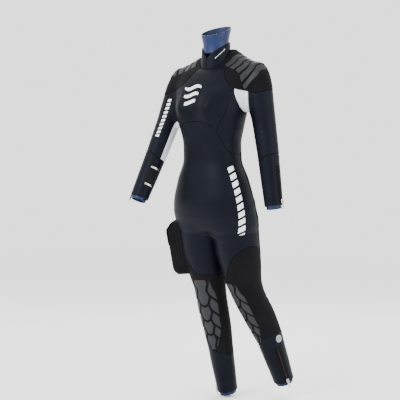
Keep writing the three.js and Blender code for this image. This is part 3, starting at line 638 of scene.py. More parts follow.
def mesh_object(name, build, material):
    """A smooth-shaded object from a bmesh in millimetres."""
    mesh = bpy.data.meshes.new(name)
    bmesh.ops.scale(build, vec=(MM, MM, MM), verts=build.verts)
    build.to_mesh(mesh)
    build.free()
    mesh.polygons.foreach_set("use_smooth", [True] * len(mesh.polygons))
    mesh.materials.append(material)
    return link(bpy.data.objects.new(name, mesh))


def face_outwards(obj, close=False):
    """Turns the faces of a closed piece outwards, with its open ends filled first where it has any."""
    build = bmesh.new()
    build.from_mesh(obj.data)
    if close:
        bmesh.ops.holes_fill(build, edges=build.edges, sides=0)
    bmesh.ops.recalc_face_normals(build, faces=build.faces)
    build.to_mesh(obj.data)
    build.free()
    return obj


def ring_faces(rings, around, wraps=False):
    """The quads between rings of points, each with the same number around it."""
    return np.array([
        (r * around + k, r * around + (k + 1) % around, (r + 1) % rings * around + (k + 1) % around,
         (r + 1) % rings * around + k)
        for r in range(rings if wraps else rings - 1) for k in range(around)
    ])


def thick_cloth(points, tris, wall, seam_depth, seam_width, puff):
    """A closed panel of foam cloth: its face sinks to its seams, and its back lies a wall's thickness inside."""
    points, tris = compact(points, tris)
    for level in (seam_width * 0.42, seam_width):
        gap = edge_distance(points, tris)
        points, tris, _, _ = split(points, tris, gap - level)
    points, tris = compact(points, tris)
    points = settle(points, 1)
    gap = edge_distance(points, tris)
    normal = outwards(points)
    sink = seam_depth * (1 - np.sqrt(np.clip(1 - (1 - np.clip(gap / seam_width, 0, 1)) ** 2, 0, 1)))
    crown = puff * np.exp(-(((gap - 10) / 6) ** 2))
    face = points + normal * (crown - sink + ripple(points))[:, None]
    closed, faces = closed_shell(face, points - normal * wall, tris)
    return closed, faces, np.concatenate([gap, np.zeros(len(points))]), points, tris, gap


def ripple(p):
    """The slight unevenness of foam cloth over a body, and soft folds where the limbs bend."""
    value = 0.35 * np.sin(p[:, 0] / 23 + p[:, 2] / 41) * np.sin(p[:, 1] / 29 - p[:, 2] / 53)
    for side in SIDES:
        for tube, low, high, pitch, depth in (
            (SLEEVES[side], 215.0, 330.0, 21.0, 0.8),
            (LEGS[side], 330.0, 430.0, 27.0, 0.9),
            (LEGS[side], 20.0, 120.0, 34.0, 0.8),
        ):
            phi, t, out = tube.around(p)
            inner = np.clip(-np.cos(phi - 0.3 * SIDES[side]) if tube is LEGS[side] else np.cos(phi), 0, 1)
            zone = smooth((t - low) / 40) * smooth((high - t) / 40) * (out < 12)
            value += depth * zone * inner * np.sin(t / pitch * 2 * math.pi + 1.5 * np.sin(phi))
    return value


def plate(points, tris, region, rise, edge, sunk=0.6, fine=2, reach=14.0):
    """A closed plate on the skin, with the outline where region is 0 and rounded edges."""
    near = region(points)[tris].max(1) > -reach
    points, tris = compact(points, tris[near])
    for _ in range(fine):
        points, tris = refine(points, tris)
        keep = region(points)[tris].max(1) > -reach / 2
        points, tris = compact(points, tris[keep])
    points, tris, inside, _ = split(points, tris, region(points))
    points, tris = compact(points, tris[inside])
    if edge:
        for level in (edge * 0.35, edge):
            gap = edge_distance(points, tris)
            points, tris, _, _ = split(points, tris, gap - level)
        points, tris = compact(points, tris)
    points = settle(points, 1)
    gap = edge_distance(points, tris)
    normal = outwards(points)
    lift = rise if not edge else rise * np.sqrt(np.clip(1 - (1 - np.clip(gap / edge, 0, 1)) ** 2, 0.02, 1))
    top = points + normal * (ripple(points) + lift)[:, None]
    return closed_shell(top, points - normal * sunk, tris)


# ---------- finishes ----------
class Graph:
    """A short way to lay out a node tree."""

    def __init__(self, tree):
        self.tree = tree

    def node(self, kind, settings=None, **inputs):
        made = self.tree.nodes.new(kind)
        for key, value in (settings or {}).items():
            setattr(made, key, value)
        for key, value in inputs.items():
            self.feed(made, int(key[1:]) if key[0] == "_" else key.replace("_", " "), value)
        return made

    def feed(self, node, key, value):
        socket = node.inputs[key]
        if isinstance(value, bpy.types.NodeSocket):
            self.tree.links.new(value, socket)
        else:
            socket.default_value = value

    def math(self, operation, a, b=0.0):
        return self.node("ShaderNodeMath", {"operation": operation}, _0=a, _1=b).outputs[0]

    def noise(self, place, scale, detail):
        return self.node("ShaderNodeTexNoise", {}, Vector=place, Scale=scale, Detail=detail).outputs["Fac"]

    def range(self, value, low, high, to_low=0.0, to_high=1.0):
        made = self.node("ShaderNodeMapRange", {"interpolation_type": "SMOOTHSTEP"})
        keys = ("Value", "From Min", "From Max", "To Min", "To Max")
        for key, number in zip(keys, (value, low, high, to_low, to_high)):
            self.feed(made, key, number)
        return made.outputs["Result"]


def shader_group(name, inputs, outputs):
    """A shader group with its named inputs and outputs."""
    tree = bpy.data.node_groups.new(name, "ShaderNodeTree")
    for socket, kind, value in inputs:
        made = tree.interface.new_socket(name=socket, in_out="INPUT", socket_type=kind)
        made.default_value = value
    for socket, kind in outputs:
        tree.interface.new_socket(name=socket, in_out="OUTPUT", socket_type=kind)
    g = Graph(tree)
    return g, g.node("NodeGroupInput"), g.node("NodeGroupOutput")


def make_knit_group():
    """Fine rows of loops on a stretch fabric, with a slow change of tone."""
    if "Knit" in bpy.data.node_groups:
        return bpy.data.node_groups["Knit"]
    g, given, out = shader_group(
        "Knit",
        [("Rows per metre", "NodeSocketFloat", 900.0), ("Cloud scale", "NodeSocketFloat", 9.0)],
        [("Height", "NodeSocketFloat"), ("Cloud", "NodeSocketFloat"), ("Fleck", "NodeSocketFloat")],
    )
    place = g.node("ShaderNodeTexCoord").outputs["Object"]
    rows = g.node(
        "ShaderNodeTexWave", {"wave_type": "BANDS", "bands_direction": "Z"},
        Vector=place, Scale=given.outputs["Rows per metre"], Distortion=1.2, Detail=1.0,
    ).outputs["Fac"]
    loops = g.node("ShaderNodeTexVoronoi", {}, Vector=place, Scale=given.outputs["Rows per metre"]).outputs["Distance"]
    cloud = g.noise(place, given.outputs["Cloud scale"], 3.0)
    fleck = g.noise(place, 420.0, 1.0)
    g.feed(out, "Height", g.math("ADD", g.math("MULTIPLY", rows, 0.6), loops))
    g.feed(out, "Cloud", g.range(cloud, 0.3, 0.7))
    g.feed(out, "Fleck", fleck)
    return bpy.data.node_groups["Knit"]


def make_wear_group():
    """Where a piece is rubbed: broken patches, kept to a share of the surface."""
    if "Rubbed" in bpy.data.node_groups:
        return bpy.data.node_groups["Rubbed"]
    g, given, out = shader_group(
        "Rubbed",
        [("Scale", "NodeSocketFloat", 60.0), ("Share", "NodeSocketFloat", 0.4)],
        [("Mask", "NodeSocketFloat")],
    )
    place = g.node("ShaderNodeTexCoord").outputs["Object"]
    noise = g.noise(place, given.outputs["Scale"], 5.0)
    low = g.math("SUBTRACT", 0.75, g.math("MULTIPLY", given.outputs["Share"], 0.5))
    g.feed(out, "Mask", g.range(noise, low, 0.85))
    return bpy.data.node_groups["Rubbed"]


def shade(colour, by):
    return tuple(min(1.0, c * by) for c in colour)


def mix_colour(g, share, a, b):
    made = g.node("ShaderNodeMix", {"data_type": "RGBA"})
    g.feed(made, 0, share)
    g.feed(made, 6, a)
    g.feed(made, 7, b)
    return made.outputs[2]


def empty_material(name):
    material = bpy.data.materials.new(name)
    material.use_nodes = True
    material.node_tree.nodes.clear()
    return material, Graph(material.node_tree)


def cloth_finish(name, dark, light, rows, roughness, bump, specular, seams=False):
    """A knit or woven cloth; dark and light are the ends of its slow change of tone. With seams, it is painted darker
    within 3 mm of each seam, as painted shade in the seam's groove.
    """
    if name in bpy.data.materials:
        return bpy.data.materials[name]
    material, g = empty_material(name)
    knit = g.node("ShaderNodeGroup", {"node_tree": make_knit_group()})
    knit.inputs["Rows per metre"].default_value = rows
    rubbed = g.node("ShaderNodeGroup", {"node_tree": make_wear_group()})
    rubbed.inputs["Scale"].default_value = 26.0
    rubbed.inputs["Share"].default_value = 0.3
    tone = mix_colour(g, knit.outputs["Cloud"], (*dark, 1), (*light, 1))
    wear_and_seam_shade = mix_colour(g, g.math("MULTIPLY", rubbed.outputs["Mask"], 0.35), tone, (*shade(light, 1.7), 1))
    # painted shade: the colour darkens towards each seam, where the face sinks into the seam's groove
    if seams:
        near = g.node("ShaderNodeAttribute", {"attribute_name": "near_seam"}).outputs["Fac"]
        seam_groove_shade = g.range(near, 0.0, 3.0, 0.55, 0.0)
        wear_and_seam_shade = mix_colour(g, seam_groove_shade, wear_and_seam_shade, (*shade(dark, 0.35), 1))
    shine = g.range(knit.outputs["Fleck"], 0.3, 0.7, *roughness)
    relief = g.node("ShaderNodeBump", {}, Strength=bump, Distance=0.0004, Height=knit.outputs["Height"])
    surface = g.node(
        "ShaderNodeBsdfPrincipled", {}, Base_Color=wear_and_seam_shade, Roughness=shine, Normal=relief.outputs["Normal"],
    )
    surface.inputs["Specular IOR Level"].default_value = specular
    surface.inputs["Specular Tint"].default_value = (0.84, 0.9, 1.0, 1)
    g.node("ShaderNodeOutputMaterial", {}, Surface=surface.outputs["BSDF"])
    return material


def moulded_finish(name, dark, light, roughness, metallic=0.0, grain=900.0, bump=0.2, specular=0.2):
    """Moulded rubber or plastic, print or cast metal: fine grain, and lighter where it is rubbed."""
    if name in bpy.data.materials:
        return bpy.data.materials[name]
    material, g = empty_material(name)
    place = g.node("ShaderNodeTexCoord").outputs["Object"]
    rubbed = g.node("ShaderNodeGroup", {"node_tree": make_wear_group()})
    rubbed.inputs["Scale"].default_value = 70.0
    rubbed.inputs["Share"].default_value = 0.5
    noise = g.noise(place, grain, 3.0)
    tone = mix_colour(g, rubbed.outputs["Mask"], (*dark, 1), (*light, 1))
    relief = g.node("ShaderNodeBump", {}, Strength=bump, Distance=0.0003, Height=noise)
    surface = g.node(
        "ShaderNodeBsdfPrincipled", {}, Base_Color=tone, Roughness=g.range(noise, 0.35, 0.65, *roughness),
        Normal=relief.outputs["Normal"],
    )
    surface.inputs["Metallic"].default_value = metallic
    surface.inputs["Specular IOR Level"].default_value = specular
    g.node("ShaderNodeOutputMaterial", {}, Surface=surface.outputs["BSDF"])
    return material


def colours():
    return bpy.context.scene.wetsuit_colours


def sizes():
    return bpy.context.scene.wetsuit_sizes


def own_cloth(name, colour, dark, light, **finish):
    """A cloth in one of the user's colours, from a darker shade of it to a lighter one."""
    return cloth_finish(name, shade(colour, dark), shade(colour, light), **finish)


def smooth_neoprene():
    return own_cloth(
        "Smooth neoprene", colours().neoprene, 0.8, 1.25,
        rows=1100.0, roughness=(0.4, 0.52), bump=0.25, specular=0.075, seams=True,
    )


def tough_knit():
    return own_cloth(
        "Tough knit", colours().tough, 0.8, 1.3, rows=600.0, roughness=(0.7, 0.85), bump=0.6, specular=0.07, seams=True
    )


def white_knit():
    return own_cloth(
        "White knit", colours().inset, 0.9, 1.0, rows=900.0, roughness=(0.55, 0.7), bump=0.3, specular=0.3, seams=True
    )


def seal_skin():
    return own_cloth(
        "Seal skin", colours().seal, 0.65, 1.35, rows=700.0, roughness=(0.3, 0.42), bump=0.2, specular=0.25
    )


def pocket_cloth():
    return own_cloth(
        "Pocket cloth", colours().tough, 0.9, 1.6, rows=380.0, roughness=(0.65, 0.8), bump=0.9, specular=0.1
    )


def tape_cloth():
    return own_cloth(
        "Zip tape", colours().tough, 0.7, 1.2, rows=450.0, roughness=(0.65, 0.85), bump=0.8, specular=0.08
    )


def guard_rubber():
    colour = colours().guard
    return moulded_finish("Guard rubber", shade(colour, 0.8), shade(colour, 1.35), (0.42, 0.6))


def mark_print():
    colour = colours().mark
    return moulded_finish("Printed mark", shade(colour, 0.93), tuple(colour), (0.45, 0.6), bump=0.08)


def cast_metal():
    return moulded_finish(
        "Cast metal", (0.5, 0.49, 0.47), (0.66, 0.65, 0.63), (0.18, 0.32), metallic=1.0, grain=300.0, bump=0.1,
        specular=0.5,
    )


def zip_plastic():
    return moulded_finish("Zip plastic", (0.012, 0.012, 0.014), (0.035, 0.035, 0.038), (0.3, 0.45))


def stitch_thread():
    return moulded_finish("Stitch thread", (0.008, 0.009, 0.013), (0.02, 0.022, 0.03), (0.55, 0.75))


# ---------- what is repeated ----------
def nodes_group(name, inputs):
    """A geometry tree with its named inputs."""
    tree = bpy.data.node_groups.new(name, "GeometryNodeTree")
    tree.interface.new_socket(name="Geometry", in_out="INPUT", socket_type="NodeSocketGeometry")
    for socket, kind in inputs:
        tree.interface.new_socket(name=socket, in_out="INPUT", socket_type=kind)
    tree.interface.new_socket(name="Geometry", in_out="OUTPUT", socket_type="NodeSocketGeometry")
    g = Graph(tree)
    return g, g.node("NodeGroupInput"), g.node("NodeGroupOutput")


def run_nodes(obj, tree, values):
    """Runs a geometry tree on an object and keeps the result as its plain mesh."""
    modifier = obj.modifiers.new("Repeat", "NODES")
    modifier.node_group = tree
    for item in tree.interface.items_tree:
        if item.in_out == "INPUT" and item.name in values:
            modifier[item.identifier] = values[item.name]
    graph = bpy.context.evaluated_depsgraph_get()
    mesh = bpy.data.meshes.new_from_object(obj.evaluated_get(graph))
    obj.modifiers.remove(modifier)
    old = obj.data
    obj.data = mesh
    bpy.data.meshes.remove(old)
    mesh.polygons.foreach_set("use_smooth", [True] * len(mesh.polygons))
    return obj


def stitch_tree():
    """Short thread capsules along the edges of a mesh."""
    if "Stitches" in bpy.data.node_groups:
        return bpy.data.node_groups["Stitches"]
    g, given, out = nodes_group(
        "Stitches",
        [("Spacing", "NodeSocketFloat"), ("Thread", "NodeSocketFloat"), ("Length", "NodeSocketFloat"),
         ("Finish", "NodeSocketMaterial")],
    )
    curve = g.node("GeometryNodeMeshToCurve", {}, Mesh=given.outputs["Geometry"])
    resample = g.node("GeometryNodeCurveToPoints", {"mode": "LENGTH"}, Curve=curve.outputs["Curve"])
    g.feed(resample, "Length", given.outputs["Spacing"])
    turn = g.node("FunctionNodeAlignRotationToVector", {"axis": "Z"}, Vector=resample.outputs["Tangent"])
    bead = g.node("GeometryNodeMeshIcoSphere", {}, Radius=1.0, Subdivisions=1)
    half = g.math("MULTIPLY", given.outputs["Length"], 0.5)
    scale = g.node("ShaderNodeCombineXYZ", {}, X=given.outputs["Thread"], Y=given.outputs["Thread"], Z=half)
    placed = g.node(
        "GeometryNodeInstanceOnPoints", {}, Points=resample.outputs["Points"], Instance=bead.outputs["Mesh"],
        Rotation=turn.outputs["Rotation"], Scale=scale.outputs[0],
    )
    real = g.node("GeometryNodeRealizeInstances", {}, Geometry=placed.outputs["Instances"])
    done = g.node("GeometryNodeSetMaterial", {}, Geometry=real.outputs["Geometry"], Material=given.outputs["Finish"])
    g.feed(out, "Geometry", done.outputs["Geometry"])
    return bpy.data.node_groups["Stitches"]


def teeth_tree():
    """Two rows of interlocking moulded teeth, up from the origin along Z."""
    if "Zip teeth" in bpy.data.node_groups:
        return bpy.data.node_groups["Zip teeth"]
    g, given, out = nodes_group(
        "Zip teeth",
        [("Pitch", "NodeSocketFloat"), ("Run", "NodeSocketFloat"), ("Width", "NodeSocketFloat"),
         ("Height", "NodeSocketFloat"), ("Finish", "NodeSocketMaterial")],
    )
    count = g.node(
        "FunctionNodeFloatToInt", {}, Float=g.math("DIVIDE", given.outputs["Run"], given.outputs["Pitch"])
    ).outputs[0]
    rows = []
    for sign in (-1.0, 1.0):
        start = g.node(
            "ShaderNodeCombineXYZ", {}, X=g.math("MULTIPLY", given.outputs["Width"], 0.2 * sign), Y=0.0,
            Z=g.math("MULTIPLY", given.outputs["Pitch"], 0.5 + 0.25 * sign),
        )
        step = g.node("ShaderNodeCombineXYZ", {}, X=0.0, Y=0.0, Z=given.outputs["Pitch"])
        line = g.node(
            "GeometryNodeMeshLine", {"mode": "OFFSET"}, Count=count, Start_Location=start.outputs[0],
            Offset=step.outputs[0],
        )
        size = g.node(
            "ShaderNodeCombineXYZ", {}, X=g.math("MULTIPLY", given.outputs["Width"], 0.6),
            Y=given.outputs["Height"], Z=g.math("MULTIPLY", given.outputs["Pitch"], 0.46),
        )
        tooth = g.node("GeometryNodeMeshCube", {}, Size=size.outputs[0])
        tooth_fine = g.node("GeometryNodeSubdivisionSurface", {}, Mesh=tooth.outputs["Mesh"], Level=1, Edge_Crease=0.55)
        rows.append(
            g.node(
                "GeometryNodeInstanceOnPoints", {}, Points=line.outputs["Mesh"], Instance=tooth_fine.outputs["Mesh"]
            ).outputs["Instances"]
        )
    both = g.node("GeometryNodeJoinGeometry")
    for row in rows:
        g.tree.links.new(row, both.inputs["Geometry"])
    real = g.node("GeometryNodeRealizeInstances", {}, Geometry=both.outputs["Geometry"])
    done = g.node("GeometryNodeSetMaterial", {}, Geometry=real.outputs["Geometry"], Material=given.outputs["Finish"])
    g.feed(out, "Geometry", done.outputs["Geometry"])
    return bpy.data.node_groups["Zip teeth"]


# ---------- settings ----------
class WetsuitSizes(bpy.types.PropertyGroup):
    wall: FloatProperty(name="Panel wall", description="Thickness of the panels", default=0.0055, unit="LENGTH")
    grid: FloatProperty(name="Grid", description="Spacing of the skin's points", default=0.0055, unit="LENGTH")
    seam_depth: FloatProperty(
        name="Seam depth", description="How far a panel sinks to its seam", default=0.0016, unit="LENGTH"
    )
    seam_width: FloatProperty(
        name="Seam width", description="How far from its seam a panel starts to sink", default=0.005, unit="LENGTH"
    )
    stitch_gap: FloatProperty(
        name="Stitch spacing", description="From one stitch to the next", default=0.0052, unit="LENGTH"
    )
    stitch_length: FloatProperty(name="Stitch length", description="Length of a stitch", default=0.0036, unit="LENGTH")
    thread: FloatProperty(name="Thread", description="Half the thickness of a stitch", default=0.00042, unit="LENGTH")
    tooth_pitch: FloatProperty(
        name="Tooth pitch", description="From one zip tooth to the next in a row", default=0.003, unit="LENGTH"
    )
    guard_rise: FloatProperty(
        name="Guard rise", description="Height of the guards' plates", default=0.0022, unit="LENGTH"
    )


class WetsuitColours(bpy.types.PropertyGroup):
    neoprene: FloatVectorProperty(
        name="Neoprene", description="Smooth panels", default=(0.0021, 0.0026, 0.0056), size=3, subtype="COLOR"
    )
    tough: FloatVectorProperty(
        name="Tough knit", description="Knees, shoulders, seat and pocket", default=(0.0036, 0.0032, 0.0036), size=3,
        subtype="COLOR",
    )
    inset: FloatVectorProperty(
        name="Inset", description="Panels under the arms", default=(0.66, 0.67, 0.73), size=3, subtype="COLOR"
    )
    seal: FloatVectorProperty(
        name="Seals", description="Neck, wrist and ankle seals", default=(0.0042, 0.0105, 0.045), size=3,
        subtype="COLOR",
    )
    guard: FloatVectorProperty(
        name="Guards", description="Plates on knees and shoulders", default=(0.017, 0.017, 0.021), size=3,
        subtype="COLOR",
    )
    mark: FloatVectorProperty(
        name="Marks", description="Printed bars and waves", default=(0.8, 0.81, 0.84), size=3, subtype="COLOR"
    )


skin = {}  # the whole skin and its cut panels, made by the first operator


class WETSUIT_OT_stage(bpy.types.Operator):
    """Sets the pale floor, the soft lights and the camera"""

    bl_idname = "wetsuit.stage"
    bl_label = "Stage"

    def execute(self, context):
        scene = context.scene
        build = bmesh.new()
        bmesh.ops.create_grid(build, x_segments=1, y_segments=1, size=6.0)
        bmesh.ops.translate(build, verts=build.verts, vec=(0, 0, Vector(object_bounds()[0]).z - FLOOR_GAP))
        mesh = bpy.data.meshes.new("Floor")
        build.to_mesh(mesh)
        build.free()
        material = bpy.data.materials.new("Floor")
        material.use_nodes = True
        paint = material.node_tree.nodes["Principled BSDF"]
        paint.inputs["Base Color"].default_value = (0.97, 0.97, 0.97, 1)
        paint.inputs["Roughness"].default_value = 0.9
        mesh.materials.append(material)
        floor = bpy.data.objects.new("Floor", mesh)
        scene.collection.objects.link(floor)
        floor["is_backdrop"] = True
        scene.world = bpy.data.worlds.new("Studio")
        scene.world.use_nodes = True
        sky = scene.world.node_tree.nodes["Background"]
        sky.inputs["Color"].default_value = (1, 1, 1, 1)
        sky.inputs["Strength"].default_value = 2.1
        turn, rise, up = CAMERA_TURN, CAMERA_RISE, Vector((0, 0, 1))
        right = Vector((math.cos(turn), math.sin(turn), 0))
        away = Vector((math.sin(turn), -math.cos(turn), 0))
        target = Vector((0, -0.020, -0.625)) - right * 0.050 + up * 0.035
        data = bpy.data.cameras.new("Camera")
        data.lens, data.sensor_width = CAMERA_LENS, 36.0
        camera = bpy.data.objects.new("Camera", data)
        camera.location = target + (away * math.cos(rise) + up * math.sin(rise)) * CAMERA_DISTANCE
        scene.camera = camera
        aimed = [camera]
        for name, place, size, power in (
            ("Key light", target - right * 2.0 + away * 2.2 + up * 1.7, 1.5, 95),
            ("Fill light", target + right * 2.4 + away * 1.6 + up * 0.7, 1.8, 42),
            ("Rim light", target + right * 0.6 - away * 2.4 + up * 1.8, 1.6, 60),
        ):
            lamp = bpy.data.lights.new(name, "AREA")
            lamp.energy, lamp.size = power, size
            aimed.append(bpy.data.objects.new(name, lamp))
            aimed[-1].location = place
        for obj in aimed:
            obj.rotation_euler = (target - obj.location).to_track_quat("-Z", "Y").to_euler()
            scene.collection.objects.link(obj)
        return {"FINISHED"}


def cut_panels():
    """Cuts the whole skin into the suit's panels, in the order in which their seams take over from each other."""
    points, tris = skin_net(sizes().grid / MM)
    points, tris, inside, _ = split(points, tris, trimmed(points))
    rest = skin["all"] = compact(points, tris[inside])
    order = []
    for side, sign in SIDES.items():
        order += [
            (f"forearm_{side}", in_limb(SLEEVES[side], ELBOW_SEAM, sign), smooth_neoprene, "smooth_neoprene"),
            (f"calf_panel_{side}", in_limb(LEGS[side], CALF_PANEL, sign), smooth_neoprene, "smooth_neoprene"),
            (f"knee_panel_{side}", in_limb(LEGS[side], KNEE_PANEL, sign), tough_knit, "tough_knit"),
            (f"shoulder_panel_{side}", in_shoulder(side), tough_knit, "tough_knit"),
            (f"underarm_panel_{side}", in_underarm(side), white_knit, "white_knit"),
            (f"upper_sleeve_{side}", in_upper_arm(side), smooth_neoprene, "smooth_neoprene"),
            (f"side_panel_{side}", in_side(side), smooth_neoprene, "smooth_neoprene"),
        ]
    order += [
        ("chest_panel", in_chest, smooth_neoprene, "smooth_neoprene"),
        ("upper_back_panel", in_upper_back, smooth_neoprene, "smooth_neoprene"),
        ("front_panel", in_front, smooth_neoprene, "smooth_neoprene"),
    ]
    panels = []
    for name, region, finish, slot in order:
        p, t, inside, _ = split(*rest, region(rest[0]))
        if not inside.any():
            raise RuntimeError(f"{name} has no cloth left to be cut from")
        panels.append((name, compact(p, t[inside]), finish, slot))
        rest = compact(p, t[~inside])
    panels.append(("seat_panel", rest, tough_knit, "tough_knit"))
    return panels


class WETSUIT_OT_panels(bpy.types.Operator):
    """Cuts and sews the suit's foam panels"""

    bl_idname = "wetsuit.panels"
    bl_label = "Panels"

    def execute(self, context):
        s = sizes()
        lines = []
        for name, (p, t), finish, slot in cut_panels():
            points, faces, gap, base, base_tris, base_gap = thick_cloth(
                p, t, s.wall / MM, s.seam_depth / MM, s.seam_width / MM, 0.5
            )
            obj = new_piece(name + "_cloth", points, faces, finish(), near_seam=gap)
            finish_piece(obj, name)
            face, _, _, line = split(points[: len(base)], base_tris, base_gap - STITCH_INSET)
            lines.append((face, line))
        skin["stitch_lines"] = lines
        return {"FINISHED"}


class WETSUIT_OT_stitches(bpy.types.Operator):
    """Runs a row of stitches along both sides of each seam"""

    bl_idname = "wetsuit.stitches"
    bl_label = "Stitches"

    def execute(self, context):
        s = sizes()
        offset, all_points, all_edges = 0, [], []
        for points, line in skin["stitch_lines"]:
            used, back = np.unique(line, return_inverse=True)
            all_points.append(points[used])
            all_edges.append(back.reshape(line.shape) + offset)
            offset += len(used)
        points = np.concatenate(all_points)
        points = points + outwards(points) * 0.15
        mesh = bpy.data.meshes.new("stitches")
        mesh.from_pydata((points * MM).tolist(), np.concatenate(all_edges).tolist(), [])
        obj = link(bpy.data.objects.new("stitches", mesh))
        run_nodes(
            obj, stitch_tree(),
            {"Spacing": s.stitch_gap, "Thread": s.thread, "Length": s.stitch_length, "Finish": stitch_thread()},
        )
        finish_piece(obj, "chest_panel", trim=True)
        return {"FINISHED"}


def band(tube, top, bottom, outer, inner, columns=144, rows=14, lip=1.2, drop=0.0, flare=None):
    """A closed band round a tube with rounded rims; top and bottom are distances along it at each angle."""
    u = np.linspace(-1, 1, columns, endpoint=False)
    phi = math.pi * np.sign(u) * np.abs(u) ** 1.15
    profile = []  # share from bottom to top, distance beyond the rim, share from the outer face to the inner
    for k in range(rows + 1):
        profile.append((k / rows, 0.0, 0.0))
    for k in range(1, 6):
        a = math.pi * k / 6
        profile.append((1.0, math.sin(a), (1 - math.cos(a)) / 2))
    for k in range(rows, -1, -1):
        profile.append((k / rows, 0.0, 1.0))
    for k in range(1, 4):
        a = math.pi * k / 4
        profile.append((0.0, -math.sin(a), (1 + math.cos(a)) / 2))
    rings = []
    t_top, t_low = top(phi), bottom(phi)
    for share, past, across in profile:
        t = t_low + (t_top - t_low) * share - past * lip
        inset = outer + (inner - outer) * across + drop * (1 - share) ** 8
        if flare is not None:
            inset = inset - flare(phi, share)
        rings.append(tube.surface(phi, t, inset))
    return np.concatenate(rings), ring_faces(len(rings), columns, wraps=True)


class WETSUIT_OT_collar(bpy.types.Operator):
    """Makes the notched collar and the neck, wrist and ankle seals"""

    bl_idname = "wetsuit.collar"
    bl_label = "Collar and seals"

    def execute(self, context):
        rise = lambda phi: np.abs(np.sin(phi / 2)) ** 0.7
        points, faces = band(
            NECK, lambda phi: 50 - 73 * rise(phi), lambda phi: 52 + 36 * np.cos(phi), -5.5, -0.5, lip=2.0, drop=0.4
        )
        # 9 mm from any seam everywhere, so the collar gets none of the painted seam shade
        far_from_seam = np.full(len(points), 9.0)
        collar = new_piece("collar_cloth", points, faces, smooth_neoprene(), near_seam=far_from_seam)
        finish_piece(face_outwards(collar), "collar")
        folds = lambda phi, share: 0.5 * np.sin(5 * phi) * smooth(share) + 7.5 * smooth((share - 0.3) / 0.7) ** 1.5
        points, faces = band(
            NECK, lambda phi: -62 + 22 * np.cos(phi), lambda phi: 25 + 0 * phi, 0.0, 3.0, rows=26, lip=1.4, flare=folds
        )
        seal = new_piece("neck_seal_skin", points, faces, seal_skin())
        finish_piece(face_outwards(seal), "neck_seal")
        self.dashes(9)

        def roll(phi, share):
            return 0.8 * smooth((0.12 - share) / 0.12) + 0.35 * np.sin(7 * phi) * smooth((0.3 - share) / 0.2)

        for side in SIDES:
            for limb, tube, hem in (("wrist", SLEEVES[side], SLEEVE_LENGTH), ("ankle", LEGS[side], LEG_LENGTH)):
                points, faces = band(
                    tube, lambda phi: hem - 50 + 0 * phi, lambda phi: hem + 11 + 0 * phi, 6.3, 9.5, columns=72, rows=12,
                    lip=1.0, flare=roll,
                )
                cuff = new_piece(f"{limb}_seal_skin_{side}", points, faces, seal_skin())
                finish_piece(face_outwards(cuff), f"{limb}_seal_{side}")
        return {"FINISHED"}

    def dashes(self, count):
        """A slanting row of printed dashes on the collar's left."""
        points, quads = [], []
        for number in range(count):
            share = number / count
            phi, t = math.radians(34 + 44 * share), 46 - 38 * share
            for inset in (-5.35, -5.75):
                for dphi, dt in ((0, 2), (3.4, -0.9), (3.4, -3.9), (0, -1)):
                    points.append(NECK.surface(phi + math.radians(dphi), t + dt, inset))
            b = number * 8
            quads += [(b + 4, b + 5, b + 6, b + 7), (b + 3, b + 2, b + 1, b)]
            quads += [(b + k, b + (k + 1) % 4, b + 4 + (k + 1) % 4, b + 4 + k) for k in range(4)]
        line = new_piece("collar_dashes", np.array(points), np.array(quads), mark_print())
        finish_piece(face_outwards(line), "collar", trim=True)


# ---------- guards ----------
def chevrons(u, v, centres, thick, slant, half, taper):
    """Nested bands across u that point along +v: how deep (u, v) lies in one of them."""
    best = np.full(u.shape, -1e3)
    for centre in centres:
        middle = centre - slant * np.abs(u)
        width = thick - taper * np.abs(u)
        band_in = (width / 2 - np.abs(v - middle)) / math.sqrt(1 + slant * slant)
        best = np.maximum(best, np.minimum(band_in, half - np.abs(u)))
    return best


def off_lines(value, starts, gap, lean):
    """How far a value keeps from the nearest groove of a set."""
    far = np.full(value.shape, 1e3)
    for start in starts:
        far = np.minimum(far, (np.abs(value - start) - gap / 2) / math.sqrt(1 + lean * lean))
    return far


SHOULDER_OUTLINE = [(-2, -32), (-2, 32), (60, 46), (105, 46), (140, 32), (152, 0), (140, -32), (105, -50), (60, -52)]
KNEE_OUTLINE = [
    (0, 254), (30, 256), (38, 268), (41, 292), (55, 322), (55, 392), (51, 424), (51, 462), (40, 500), (22, 542),
    (0, 552), (-60, 552), (-60, 254),
]


def knee_plates(side):
    """A column of pointed plates down the shin with smaller ones beside it."""
    tube = LEGS[side]
    middle = math.radians(6 if side == "left" else -9)
    outline = rounded(KNEE_OUTLINE, 1)

    def region(p):
        phi, t, out = tube.around(p)
        u = np.abs((phi - middle) * 62)
        step = np.abs(((t - 300) / 60) % 1 - 0.5) * 2
        column = 30 - 10 * step - 0.02 * (t - 254)
        shin = off_lines(t + 0.45 * u, (368, 430, 490), 9.5, 0.45)
        beside = off_lines(t - 1.1 * (u - 27), (322, 384, 444, 498), 11.0, 1.1)
        between = (np.abs(u - column) - 4.4) * 0.95
        plates = np.where(u < column, shin, beside)
        return least(plates, between, inside_outline(u, t, outline), SKIN_REACH - out)

    return region


def shoulder_plates(side):
    """Wavy bars over the shoulder, from the back to the front."""
    sign, own_panel = SIDES[side], in_shoulder(side)
    outline = rounded(SHOULDER_OUTLINE)

    def region(p):
        x, y, z = p[:, 0] * sign, p[:, 1], p[:, 2]
        s = (x - 80) * 0.83 - (z + 43) * 0.56
        w = y + 4
        bars = chevrons(w, s + 3 * np.sin(w / 9), (12, 41, 70, 99, 128), 24, -0.3, 46, 0.1)
        return least(bars, inside_outline(s, w, outline), own_panel(p) - 6, x - 60)

    return region


def on_badge(p):
    """Across and down from the badge's centre, and out from the calf."""
    phi, t, out = LEGS["left"].around(p)
    return (phi - BADGE_ANGLE) * CALF_RADIUS, t - BADGE_LEVEL, out


def badge_disc(p):
    u, v, out = on_badge(p)
    return least(16 - np.hypot(u, v), SKIN_REACH - out)


